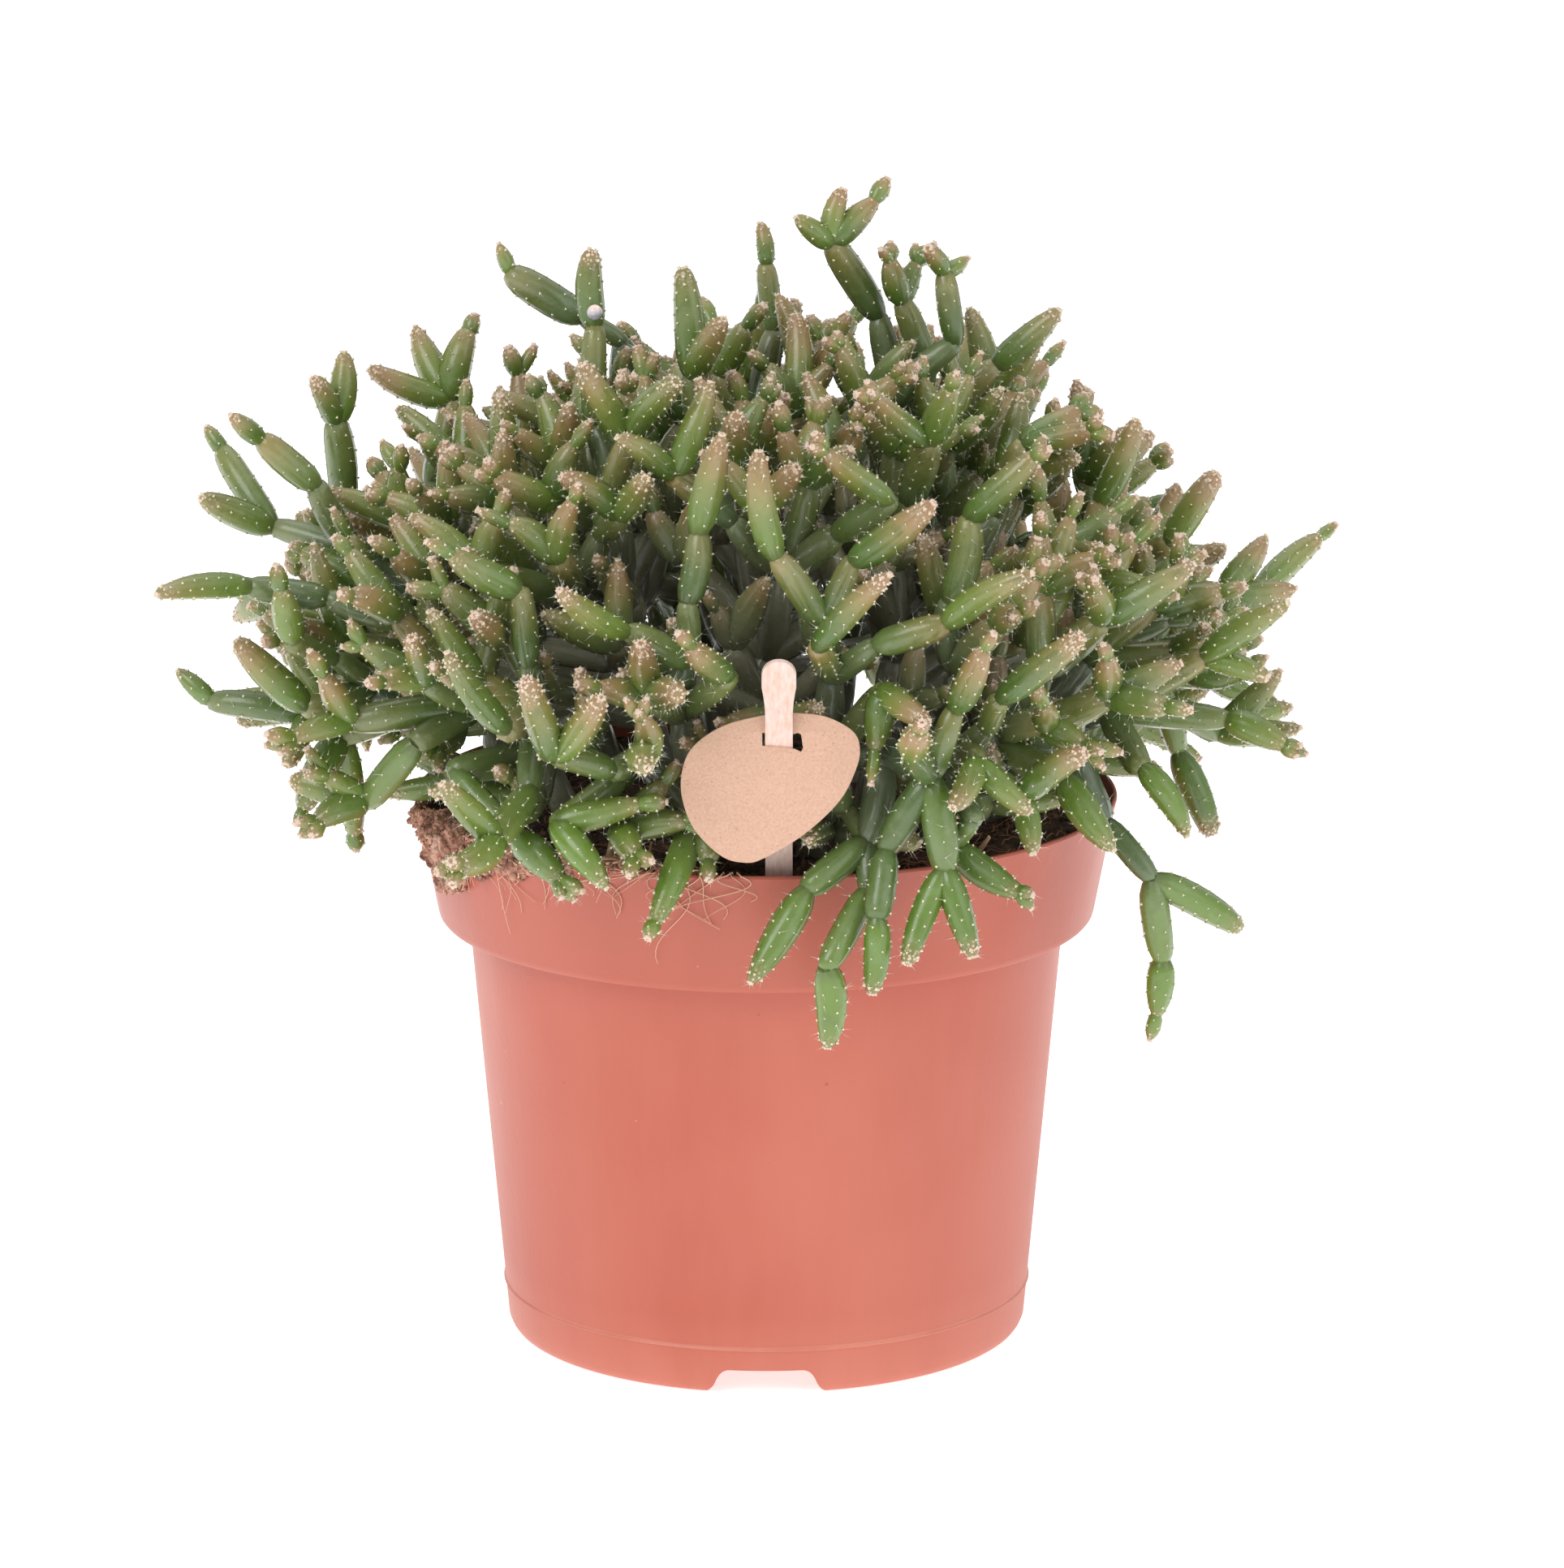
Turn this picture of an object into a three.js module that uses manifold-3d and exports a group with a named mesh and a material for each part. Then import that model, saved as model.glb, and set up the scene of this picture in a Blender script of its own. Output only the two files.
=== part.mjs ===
// A mistletoe cactus (Rhipsalis) in a plastic nursery pot: nineteen cuttings stand in peat and have grown
// into one dome of short, jointed, finger-like stems, with a card label hung on a wooden pick at the front.
// Millimetres, +Z up. The origin is the middle of the pot's foot, on the surface that it stands on.
// -Y is the front.

import * as THREE from 'three';
import { mergeVertices } from 'three/addons/utils/BufferGeometryUtils.js';
import Module from 'manifold-3d';

const wasm = await Module();
wasm.setup();

// ---- Driving dimensions ----

const POT_HEIGHT = 94;
const RIM_RADIUS = 60;
const BAND_HEIGHT = 21;
const BAND_FOOT_RADIUS = 56;
const BODY_TOP_RADIUS = 51;
const BODY_FOOT_RADIUS = 44.5;
const WALL = 0.9;
const FOOT_DEPTH = 4.8;
const FOOT_RING = { inner: 42, outer: 43.2 };
const MOULD_LINE = { height: 8.1, relief: 0.3 };
const NOTCH = { count: 3, bottomWidth: 24, topWidth: 15.4, height: 4.4, corner: 1.6 };
const DRAIN_HOLES = { count: 6, ringRadius: 27, radius: 4 };

const FIT_GAP = 0.35;
const SOIL_GAP = 0.6;
const ROOT_GAP = 0.8;
const SOIL_EDGE_HEIGHT = 90;
const SOIL_MOUND = 3.4;
const CLUMP = { centre: [-54, -25, 91.5], size: [6.8, 11, 6.4] };

const PICK = { length: 60, headWidth: 5.6, stemWidth: 4.5, thickness: 1.1, foot: [2.2, -49.2, 76], lean: 20 };
const CARD = { thickness: 0.6, slotHeight: 118.3, tilt: 8, halfWidth: 14.4, halfHeight: 12.1 };

// A link is one stem, from the joint it springs from to the next; a head is the joint that the last stems
// of a shoot spring from.
const STEM_RADIUS = { least: 1, perLength: 0.13, most: 2.85, thinnest: 0.84, spread: 0.22 };
const STEM_GAP = 0.8;
const ROOT_DEPTH = 12;
const LINK = { shortest: 11, usual: 18, longest: 19.5, reach: 22, merge: 7 };
const FORK = { widest: 30, wider: 16 };
const HEADING = { kept: 0.22, strayLevel: 0.22, strayUp: 0.16 };
const OVER_RIM = { inside: 58, below: 103, radius: 64, height: 106 };
const CUTTING_RINGS = [{ count: 1, radius: 0 }, { count: 6, radius: 20 }, { count: 12, radius: 41 }];
const CUTTING_SPREAD = 1.85;
const CROWN_CENTRE = new THREE.Vector3(0, -2.5, 97);
const CROWN = { reach: 75, heads: 195, builtFront: 3, builtBack: 3 };
const CROWN_FLATNESS = 0.87;
const INNER = { reach: 51, heads: 60, builtFront: 5, builtBack: 12 };
const HEAD = { lean: 34, stem: 15.5, room: 12 };
const HANGING = { heads: 15, from: 20, to: 160, reach: 68, height: 99, rise: 12, lean: 24, stem: 16 };
const BERRY = { shoot: 5, radius: 1.3, offset: [0, -2.1, 1.7] };
const SEED = 20261;
const SETTLING_ROUNDS = 60;
const EQUAL = 1e-9;

// The stems built here are four-sided, and a little thicker so that they fill as much as round ones.
const STEM_SIDES = 4;
const STEM_SECTION = 1.12;
const SWELL = [[0, 0.62], [0.27, 1], [0.82, 0.87]];

// ---- Colours ----

const POT_COLOUR = 0xd77d69;
const PEAT_COLOUR = 0x3c2d2a;
const CARD_COLOUR = 0xd7a57d;
const PICK_COLOUR = 0xebcda5;
const STEM_COLOUR = 0x5f823c;

// ---- Helpers for closed solids ----

const radians = THREE.MathUtils.degToRad;

function toSolid(geometry) {
  const bare = geometry.clone();
  bare.deleteAttribute('normal');
  bare.deleteAttribute('uv');
  const merged = mergeVertices(bare, 1e-4);
  return new wasm.Manifold(
    new wasm.Mesh({
      numProp: 3,
      vertProperties: new Float32Array(merged.attributes.position.array),
      triVerts: new Uint32Array(merged.index.array),
    }),
  );
}

function toGeometry(solid) {
  const { vertProperties, triVerts } = solid.getMesh();
  const geometry = new THREE.BufferGeometry();
  geometry.setAttribute('position', new THREE.BufferAttribute(vertProperties, 3));
  geometry.setIndex(new THREE.BufferAttribute(triVerts, 1));
  geometry.computeVertexNormals();
  return geometry;
}

function named(name, solid, material) {
  const mesh = new THREE.Mesh(toGeometry(solid), material);
  mesh.name = name;
  return mesh;
}

// A lathe profile is [radius, height] pairs from the axis, up the outside and back to the axis.
function turned(profile, sides) {
  const points = profile.map(([radius, height]) => new THREE.Vector2(radius, height));
  return new THREE.LatheGeometry(points, sides).rotateX(Math.PI / 2);
}

// ---- Pot ----

const POT_SIDES = 36;

function bodyRadius(height) {
  const slope = (BODY_TOP_RADIUS - BODY_FOOT_RADIUS) / (POT_HEIGHT - BAND_HEIGHT);
  return BODY_FOOT_RADIUS + slope * height;
}

function bandRadius(height) {
  const slope = (RIM_RADIUS - BAND_FOOT_RADIUS) / BAND_HEIGHT;
  return BAND_FOOT_RADIUS + slope * (height - POT_HEIGHT + BAND_HEIGHT);
}

function makePot() {
  const floorTop = FOOT_DEPTH + WALL;
  const bandFoot = POT_HEIGHT - BAND_HEIGHT;
  const line = MOULD_LINE.height;
  const profile = [
    [0, FOOT_DEPTH],
    [FOOT_RING.inner + 1, FOOT_DEPTH],
    [FOOT_RING.inner, 0],
    [FOOT_RING.outer, 0],
    [bodyRadius(0.5) - 0.5, 0.5],
    [bodyRadius(1.8), 1.8],
    [bodyRadius(line - 0.3), line - 0.3],
    [bodyRadius(line) + MOULD_LINE.relief, line],
    [bodyRadius(line + 0.3), line + 0.3],
    [bodyRadius(bandFoot), bandFoot],
    [bandRadius(bandFoot) - 0.5, bandFoot],
    [bandRadius(bandFoot + 0.6), bandFoot + 0.6],
    [bandRadius(POT_HEIGHT - 0.6), POT_HEIGHT - 0.6],
    [RIM_RADIUS - 0.5, POT_HEIGHT],
    [RIM_RADIUS - WALL, POT_HEIGHT],
    [bandRadius(bandFoot + WALL) - WALL, bandFoot + WALL],
    [bodyRadius(bandFoot) - WALL, bandFoot + WALL],
    [bodyRadius(bandFoot - WALL) - WALL, bandFoot - WALL],
    [bodyRadius(floorTop) - WALL, floorTop],
    [0, floorTop],
  ];
  let pot = toSolid(turned(profile, POT_SIDES));

  const notch = new THREE.Shape();
  const half = NOTCH.bottomWidth / 2;
  const top = NOTCH.topWidth / 2;
  notch.moveTo(-half, -1);
  notch.lineTo(half, -1);
  notch.quadraticCurveTo(top + NOTCH.corner, 0, top + NOTCH.corner / 2, NOTCH.height / 2);
  notch.quadraticCurveTo(top, NOTCH.height, top - NOTCH.corner, NOTCH.height);
  notch.lineTo(NOTCH.corner - top, NOTCH.height);
  notch.quadraticCurveTo(-top, NOTCH.height, -top - NOTCH.corner / 2, NOTCH.height / 2);
  notch.quadraticCurveTo(-top - NOTCH.corner, 0, -half, -1);
  for (let i = 0; i < NOTCH.count; i++) {
    const cutter = new THREE.ExtrudeGeometry(notch, { depth: 9, bevelEnabled: false, curveSegments: 3 });
    cutter.translate(0, 0, 38).rotateX(Math.PI / 2).rotateZ((i * 2 * Math.PI) / NOTCH.count);
    pot = pot.subtract(toSolid(cutter));
  }

  for (let i = 0; i <= DRAIN_HOLES.count; i++) {
    const ring = i < DRAIN_HOLES.count ? DRAIN_HOLES.ringRadius : 0;
    const turn = (i * 2 * Math.PI) / DRAIN_HOLES.count;
    const drill = new THREE.CylinderGeometry(DRAIN_HOLES.radius, DRAIN_HOLES.radius, 6, 8);
    drill.rotateX(Math.PI / 2).translate(ring * Math.cos(turn), ring * Math.sin(turn), FOOT_DEPTH + WALL / 2);
    pot = pot.subtract(toSolid(drill));
  }
  const material = new THREE.MeshStandardMaterial({ color: POT_COLOUR, roughness: 0.45, metalness: 0 });
  return named('pot', pot, material);
}

// ---- Label: a wooden pick pushed into the peat, and a card hung on it by a slot ----

// The pick's own frame has its foot at the origin and its length up +Y; it leans out over the rim.
function pickGeometry(growth = 0) {
  const stem = PICK.stemWidth / 2 + growth;
  const head = PICK.headWidth / 2 + growth;
  const shoulder = PICK.length - 8;
  const waist = shoulder - 2.5;
  const outline = new THREE.Shape();
  outline.moveTo(-stem * 0.45, -growth);
  outline.lineTo(stem * 0.45, -growth);
  outline.lineTo(stem, 7);
  outline.lineTo(stem, waist);
  outline.quadraticCurveTo(stem, shoulder, head, shoulder + 3);
  outline.absarc(0, PICK.length - head, head, 0, Math.PI);
  outline.quadraticCurveTo(-stem, shoulder, -stem, waist);
  outline.lineTo(-stem, 7);
  const depth = PICK.thickness + 2 * growth;
  const geometry = new THREE.ExtrudeGeometry(outline, { depth, bevelEnabled: false, curveSegments: 6 });
  geometry.translate(0, 0, -depth / 2).rotateX(Math.PI / 2 + radians(PICK.lean));
  return geometry.translate(...PICK.foot);
}

// The card's outline, about its slot, seen from the front: a soft three-cornered pebble.
const CARD_OUTLINE = [
  [-2.6, 3.7], [2.4, 4.1], [7.6, 3.5], [11.9, 1.2], [13.1, -1.5], [12.5, -5], [9.8, -10.2], [4.1, -15.6],
  [-2.6, -19.6], [-5.9, -20.2], [-9.4, -19.1], [-13.5, -15.1], [-15.5, -10.5], [-15.8, -6], [-14.1, -1.6],
  [-9.3, 1.9],
];

// How far forward the leaning pick is at a height.
function pickForward(height) {
  return (height - PICK.foot[2]) * Math.tan(radians(PICK.lean));
}

function cardPlace() {
  const forward = PICK.foot[1] - pickForward(CARD.slotHeight);
  return new THREE.Vector3(PICK.foot[0], forward, CARD.slotHeight);
}

function makeLabel() {
  const curve = new THREE.CatmullRomCurve3(CARD_OUTLINE.map(([x, y]) => new THREE.Vector3(x, y, 0)), true);
  const outline = curve.getPoints(32).slice(0, -1).map((p) => new THREE.Vector2(p.x, p.y));
  const flat = { depth: CARD.thickness, bevelEnabled: false };
  const card = new THREE.ExtrudeGeometry(new THREE.Shape(outline), flat);
  card.translate(0, 0, -CARD.thickness / 2).rotateX(Math.PI / 2 - radians(CARD.tilt));
  card.translate(...cardPlace().toArray());
  const slotted = toSolid(card).subtract(toSolid(pickGeometry(FIT_GAP)));
  const cardMaterial = new THREE.MeshStandardMaterial({ color: CARD_COLOUR, roughness: 0.9, metalness: 0 });
  const pickMaterial = new THREE.MeshStandardMaterial({ color: PICK_COLOUR, roughness: 0.7, metalness: 0 });
  const pick = toSolid(pickGeometry());
  return [named('label_card', slotted, cardMaterial), named('label_pick', pick, pickMaterial)];
}

// ---- The cactus: where its shoots end ----

// Shoots that give the crown its outline and its front, placed by hand: the head that each springs from,
// then its stems, each a run of joints out to the tip.
const OUTLINE_SHOOTS = [
  // over the top
  [[19, 8, 174], [[11, 2, 188], [5, 0, 193]], [[11, 2, 188], [13, 4, 197]], [[11, 2, 188], [21, 8, 197]]],
  [[22, 4, 178], [[20, 0, 189]], [[27, 10, 187]]],
  [[31, -4, 172], [[30, -4, 184], [27, -8, 189]], [[30, -4, 184], [34, 0, 186]]],
  [[2, 14, 171], [[0, 16, 182], [-1, 18, 189]]],
  [[-24, 5, 170], [[-31, 4, 175], [-43, 2, 183], [-45, 2, 188]]],
  [[-28, -8, 176], [[-29, -8, 189]]],
  [[-13, -12, 168], [[-14, -10, 186]], [[-7, -20, 179]]],
  [[-8, 10, 164], [[-1, 6, 177]]],
  // the left side
  [[-73, 8, 141], [[-73, 6, 156], [-72, 8, 168]], [[-73, 6, 156], [-76, 2, 165]]],
  [[-54, 24, 157], [[-68, 22, 163]], [[-60, 30, 169]], [[-51, 28, 171]]],
  [[-75, -14, 150], [[-84, -16, 158], [-89, -20, 163]]],
  [[-84, -4, 140], [[-92, 4, 152], [-95, 6, 156]], [[-95, -10, 147]]],
  [[-83, -36, 136], [[-100, -46, 138]]],
  [[-80, -34, 128], [[-82, -36, 141]]],
  [[-84, 12, 125], [[-94, 14, 127]], [[-92, 22, 119]]],
  [[-76, -30, 116], [[-88, -30, 127]]],
  [[-77, -18, 111], [[-93, -16, 113], [-99, -14, 118]], [[-80, -28, 105]]],
  [[-67, -12, 101], [[-79, -18, 93]], [[-70, -2, 84]]],
  // over the front of the rim
  [[-51, -46, 106], [[-40, -58, 101], [-30, -66, 93]]],
  [[-32, -62, 104], [[-25, -70, 94]], [[-16, -72, 104]]],
  [[-14, -66, 101], [[-20, -72, 84]], [[-9, -75, 93]]],
  [[5, -70, 92], [[-4, -74, 77]]],
  [[11, -66, 98], [[11, -71, 83], [10, -68, 68]]],
  [[18, -66, 100], [[17, -71, 90], [17, -70, 77]]],
  [[26, -66, 98], [[23, -73, 83]], [[33, -70, 85]]],
  [[31, -60, 101], [[44, -66, 92]]],
  // the right side
  [[56, -38, 98], [[64, -42, 89], [66, -41, 75], [65, -38, 61]], [[64, -42, 89], [79, -36, 79]]],
  [[71, 14, 97], [[77, 12, 83]]],
  [[62, -34, 106], [[70, -37, 95]]],
  [[49, -48, 108], [[57, -54, 97]]],
  [[42, -57, 106], [[52, -61, 115]], [[43, -63, 98]]],
  [[77, -20, 111], [[90, -24, 106]]],
  [[77, 14, 111], [[88, 14, 104]]],
  [[73, -28, 124], [[83, -32, 121]], [[86, -38, 135]]],
  [[86, 24, 122], [[99, 36, 133]]],
  [[77, 14, 126], [[90, 16, 126]], [[86, 18, 134]]],
  [[67, 4, 138], [[77, 4, 149]]],
  [[56, -8, 145], [[62, -10, 160]]],
  [[43, -18, 157], [[57, -24, 162]], [[55, -8, 163]]],
  [[38, 4, 166], [[49, 4, 176]]],
];
const FRONT_SHOOTS = [
  [[27, -33, 161], [[16, -49, 173]], [[31, -42, 174]]],
  [[33, -42, 150], [[46, -44, 163]]],
  [[20, -46, 154], [[7, -58, 166]]],
  [[14, -58, 146], [[27, -64, 157]]],
  [[-11, -55, 150], [[-7, -58, 167]]],
  [[2, -60, 147], [[-1, -62, 165]]],
  [[-22, -31, 162], [[-30, -39, 175]], [[-14, -44, 173]]],
  [[-22, -64, 135], [[-33, -74, 145]]],
  [[-40, -51, 140], [[-54, -57, 149]]],
  [[29, -60, 136], [[43, -67, 146]]],
  [[8, -68, 134], [[20, -76, 148]]],
  [[29, -67, 123], [[36, -76, 138]]],
  [[38, -62, 124], [[51, -68, 136]]],
  [[-33, -66, 116], [[-25, -80, 129]], [[-38, -78, 131]]],
  [[18, -77, 120], [[25, -90, 127]]],
  [[-42, -60, 118], [[-51, -68, 133]]],
  [[-5, -70, 126], [[-14, -80, 139]]],
  [[19, -63, 118], [[29, -69, 121]], [[24, -74, 108]]],
  [[31, -62, 111], [[42, -66, 107]], [[29, -75, 109]]],
  [[46, -50, 117], [[57, -55, 112]], [[45, -60, 125]]],
];

const GOLDEN_ANGLE = Math.PI * (3 - Math.sqrt(5));

// Park and Miller's generator, so that the same plant grows each time.
let seed = SEED;
function random() {
  seed = (seed * 16807) % 2147483647;
  return seed / 2147483647;
}

const vector = (p) => new THREE.Vector3(...p);

// Stems that spring from one joint lean away from its outward direction, evenly round it.
function fan(at, outward, count, lean, length) {
  const across = new THREE.Vector3(0, 0, 1).cross(outward).normalize();
  const up = outward.clone().cross(across);
  const start = random() * 2 * Math.PI;
  const stems = [];
  for (let i = 0; i < count; i++) {
    const turn = start + (i * 2 * Math.PI) / count + (random() - 0.5) * 0.8;
    const tilt = radians(lean * (0.7 + 0.6 * random()));
    const tip = outward.clone().multiplyScalar(Math.cos(tilt));
    tip.addScaledVector(across, Math.sin(tilt) * Math.cos(turn));
    tip.addScaledVector(up, Math.sin(tilt) * Math.sin(turn));
    stems.push([tip.multiplyScalar(length * (0.82 + 0.36 * random())).add(at)]);
  }
  return stems;
}

// The rest of the crown: heads of two or three stems, spaced evenly over a flattened dome by the golden
// angle, where none that was placed by hand is near. One in so many is built here; finer work can draw them
// all.
function spacedHeads(placed, { reach, heads, builtFront, builtBack }) {
  const spaced = [];
  for (let i = 0; i < heads; i++) {
    const height = 1 - (0.97 * (i + 0.5)) / heads;
    const turn = i * GOLDEN_ANGLE + (random() - 0.5) * 0.12;
    const level = Math.sqrt(1 - height * height);
    const outward = new THREE.Vector3(level * Math.cos(turn), level * Math.sin(turn), height);
    const swell = 2 * Math.sin(2 * turn + 0.6) * level + 2 * Math.sin(5 * turn + 7 * height);
    const at = outward.clone().multiplyScalar(reach + swell + (random() - 0.5) * 9);
    at.z *= CROWN_FLATNESS;
    at.add(CROWN_CENTRE);
    const lifted = outward.clone().add(new THREE.Vector3(0, 0, 0.3)).normalize();
    const count = random() < 0.55 ? 3 : 2;
    const stems = fan(at, lifted, count, HEAD.lean, HEAD.stem);
    const crowded = placed.some((head) => head.at.distanceTo(at) < HEAD.room);
    const builtOneIn = at.y > 0 ? builtBack : builtFront;
    if (!crowded) spaced.push({ at, stems, main: i % builtOneIn === 1 });
  }
  return spaced;
}

// Round the back a few heads hang over the rim, as those placed by hand do at the front.
function hangingHeads() {
  const hanging = [];
  const { heads, from, to, reach, height, rise, lean, stem } = HANGING;
  for (let i = 0; i < heads; i++) {
    const turn = radians(from + ((to - from) * (i + 0.5)) / heads) + (random() - 0.5) * 0.1;
    const at = new THREE.Vector3(reach * Math.cos(turn), reach * Math.sin(turn), height + rise * random());
    const outward = new THREE.Vector3(Math.cos(turn), Math.sin(turn), -0.9).normalize();
    hanging.push({ at, stems: fan(at, outward, 2, lean, stem), main: i % 3 === 0 });
  }
  return hanging;
}

// ---- The cactus: from the peat out to those heads ----

const joints = [];
const links = [];

function addJoint(at, freedom) {
  joints.push({ at: at.clone(), freedom });
  return joints.length - 1;
}

function addLink(a, b, cutting, main) {
  const length = joints[a].at.distanceTo(joints[b].at);
  const thick = Math.min(STEM_RADIUS.most, STEM_RADIUS.least + STEM_RADIUS.perLength * length);
  const radius = thick * (STEM_RADIUS.thinnest + STEM_RADIUS.spread * random());
  links.push({ a, b, cutting, main, length, radius });
}

function cuttingFeet() {
  const feet = [];
  for (const { count, radius } of CUTTING_RINGS) {
    for (let i = 0; i < count; i++) {
      const turn = ((i + 0.5) * 2 * Math.PI) / count + (random() - 0.5) * 0.16;
      const out = radius * (0.95 + 0.08 * random());
      feet.push(new THREE.Vector3(out * Math.cos(turn), out * Math.sin(turn), 0));
    }
  }
  return feet;
}

function soilHeight(x, y) {
  const out = Math.hypot(x, y) / RIM_RADIUS;
  const turn = Math.atan2(y, x);
  const lumps = 0.5 * Math.sin(3 * turn + 9 * out) + 0.35 * Math.sin(7 * turn - 13 * out);
  return SOIL_EDGE_HEIGHT + SOIL_MOUND * (1 - out * out) + lumps * out;
}

// A head that hangs outside the pot is reached over the rim.
function aim(from, goal) {
  const out = Math.hypot(from.x, from.y);
  const far = Math.hypot(goal.x, goal.y);
  if (goal.z > OVER_RIM.below || out > OVER_RIM.inside || far < OVER_RIM.inside) return goal;
  const shrink = OVER_RIM.radius / far;
  return new THREE.Vector3(goal.x * shrink, goal.y * shrink, OVER_RIM.height);
}

function meanDirection(from, heads) {
  const sum = new THREE.Vector3();
  for (const head of heads) sum.add(aim(from, head.at).clone().sub(from).normalize());
  return sum.normalize();
}

// The way that points farthest from another one; of equal ways the first counts.
function farthest(ways, from) {
  let found = 0;
  ways.forEach((way, i) => {
    if (way.dot(from) < ways[found].dot(from) - EQUAL) found = i;
  });
  return found;
}

// Heads that lie in clearly different directions are reached by different stems.
function divide(from, heads, widest) {
  const mean = meanDirection(from, heads);
  const ways = heads.map((head) => aim(from, head.at).clone().sub(from).normalize());
  const first = farthest(ways, mean);
  if (ways[first].angleTo(mean) < radians(widest)) return [heads];
  const second = farthest(ways, ways[first]);
  const nearer = (i) => ways[i].dot(ways[first]) > ways[i].dot(ways[second]);
  const groups = [heads.filter((_, i) => nearer(i)), heads.filter((_, i) => !nearer(i))];
  return groups.flatMap((group) => divide(from, group, widest + FORK.wider));
}

function finishHead(joint, head, cutting) {
  head.joint = joint;
  head.stems.forEach((stem, i) => {
    let last = joint;
    for (const point of stem) {
      const known = joints.findIndex((j) => j.at.distanceTo(point) < 0.01);
      const next = known >= 0 ? known : addJoint(point, head.byHand ? 0.25 : 1);
      if (known < 0) addLink(last, next, cutting, head.main && (head.byHand || i < 2));
      last = next;
    }
  });
}

function grow(joint, heading, heads, cutting) {
  const from = joints[joint].at.clone();
  const far = [];
  for (const head of heads) {
    const away = from.distanceTo(head.at);
    const open = aim(from, head.at) === head.at;
    if (away < LINK.merge) {
      finishHead(joint, head, cutting);
    } else if (away < LINK.reach && open) {
      const next = addJoint(head.at, head.byHand ? 0.35 : 1);
      addLink(joint, next, cutting, head.main);
      finishHead(next, head, cutting);
    } else {
      far.push(head);
    }
  }
  if (far.length === 0) return;
  for (const group of divide(from, far, FORK.widest)) {
    const nearest = Math.min(...group.map((head) => from.distanceTo(head.at)));
    const step = Math.max(LINK.shortest, nearest / Math.ceil(nearest / LINK.longest));
    const way = meanDirection(from, group).multiplyScalar(1 - HEADING.kept);
    way.addScaledVector(heading, HEADING.kept);
    way.x += (random() - 0.5) * HEADING.strayLevel;
    way.y += (random() - 0.5) * HEADING.strayLevel;
    way.z += (random() - 0.5) * HEADING.strayUp;
    way.normalize();
    const next = addJoint(from.clone().addScaledVector(way, Math.min(step, LINK.usual)), 1);
    addLink(joint, next, cutting, group.some((head) => head.main));
    grow(next, way, group, cutting);
  }
}

function headsByHand(shoots, builtOneIn) {
  return shoots.map(([at, ...stems], i) => {
    const main = i % builtOneIn === 0;
    return { at: vector(at), stems: stems.map((stem) => stem.map(vector)), main, byHand: true };
  });
}

// Each cutting bears the heads that are nearest to it once it has spread outwards.
function growCuttings() {
  const byHand = [...headsByHand(OUTLINE_SHOOTS, 1), ...headsByHand(FRONT_SHOOTS, 1)];
  const heads = [...byHand, ...spacedHeads(byHand, CROWN), ...spacedHeads(byHand, INNER), ...hangingHeads()];
  const feet = cuttingFeet();
  const shares = feet.map(() => []);
  for (const head of heads) {
    const { x, y } = head.at;
    const offsets = feet.map((foot) => Math.hypot(x - foot.x * CUTTING_SPREAD, y - foot.y * CUTTING_SPREAD));
    shares[offsets.indexOf(Math.min(...offsets))].push(head);
  }
  feet.forEach((foot, cutting) => {
    const surface = foot.clone().setZ(soilHeight(foot.x, foot.y));
    const lean = meanDirection(surface, shares[cutting]);
    lean.z = Math.max(lean.z, 0.2) + 0.9;
    lean.normalize();
    const buried = surface.clone().addScaledVector(lean, -ROOT_DEPTH / lean.z);
    const first = surface.clone().addScaledVector(lean, 14 + 5 * random());
    const footJoint = addJoint(buried, 0);
    const firstJoint = addJoint(first, 0.1);
    addLink(footJoint, firstJoint, cutting, true);
    links[links.length - 1].basal = true;
    grow(firstJoint, lean, shares[cutting], cutting);
  });
  return heads;
}

// ---- The cactus: stems push each other apart until they are clear ----

// Nearest points of two links, as fractions along them.
function nearestFractions(p, q) {
  const u = joints[p.b].at.clone().sub(joints[p.a].at);
  const v = joints[q.b].at.clone().sub(joints[q.a].at);
  const w = joints[p.a].at.clone().sub(joints[q.a].at);
  const uu = u.dot(u);
  const vv = v.dot(v);
  const uv = u.dot(v);
  const uw = u.dot(w);
  const vw = v.dot(w);
  const clamp = THREE.MathUtils.clamp;
  const spread = uu * vv - uv * uv;
  let s = spread > 1e-6 * uu * vv ? clamp((uv * vw - vv * uw) / spread, 0, 1) : 0.5;
  const t = clamp((uv * s + vw) / vv, 0, 1);
  s = clamp((uv * t - uw) / uu, 0, 1);
  return [s, t];
}

function pointAlong(link, fraction) {
  return joints[link.a].at.clone().lerp(joints[link.b].at, fraction);
}

function moveLink(link, fraction, shift) {
  const a = joints[link.a];
  const b = joints[link.b];
  a.at.addScaledVector(shift, (1 - fraction) * a.freedom);
  b.at.addScaledVector(shift, fraction * b.freedom);
}

// Two stems that share a joint part only beyond its neck, where they may stand a little closer.
function parted(p, q) {
  const shared = p.a === q.a || p.b === q.a || p.a === q.b;
  let [s, t] = nearestFractions(p, q);
  if (shared) {
    s = p.b === q.a ? Math.min(s, 0.5) : Math.max(s, 0.55);
    t = q.b === p.a ? Math.min(t, 0.5) : Math.max(t, 0.55);
  }
  const away = pointAlong(p, s).sub(pointAlong(q, t));
  const wanted = (p.radius + q.radius) * (shared ? 0.85 : 1) + STEM_GAP;
  const lack = wanted - away.length();
  if (lack <= 0 || away.length() < 1e-6) return;
  away.setLength(lack / 2);
  moveLink(p, s, away);
  moveLink(q, t, away.negate());
}

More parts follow.
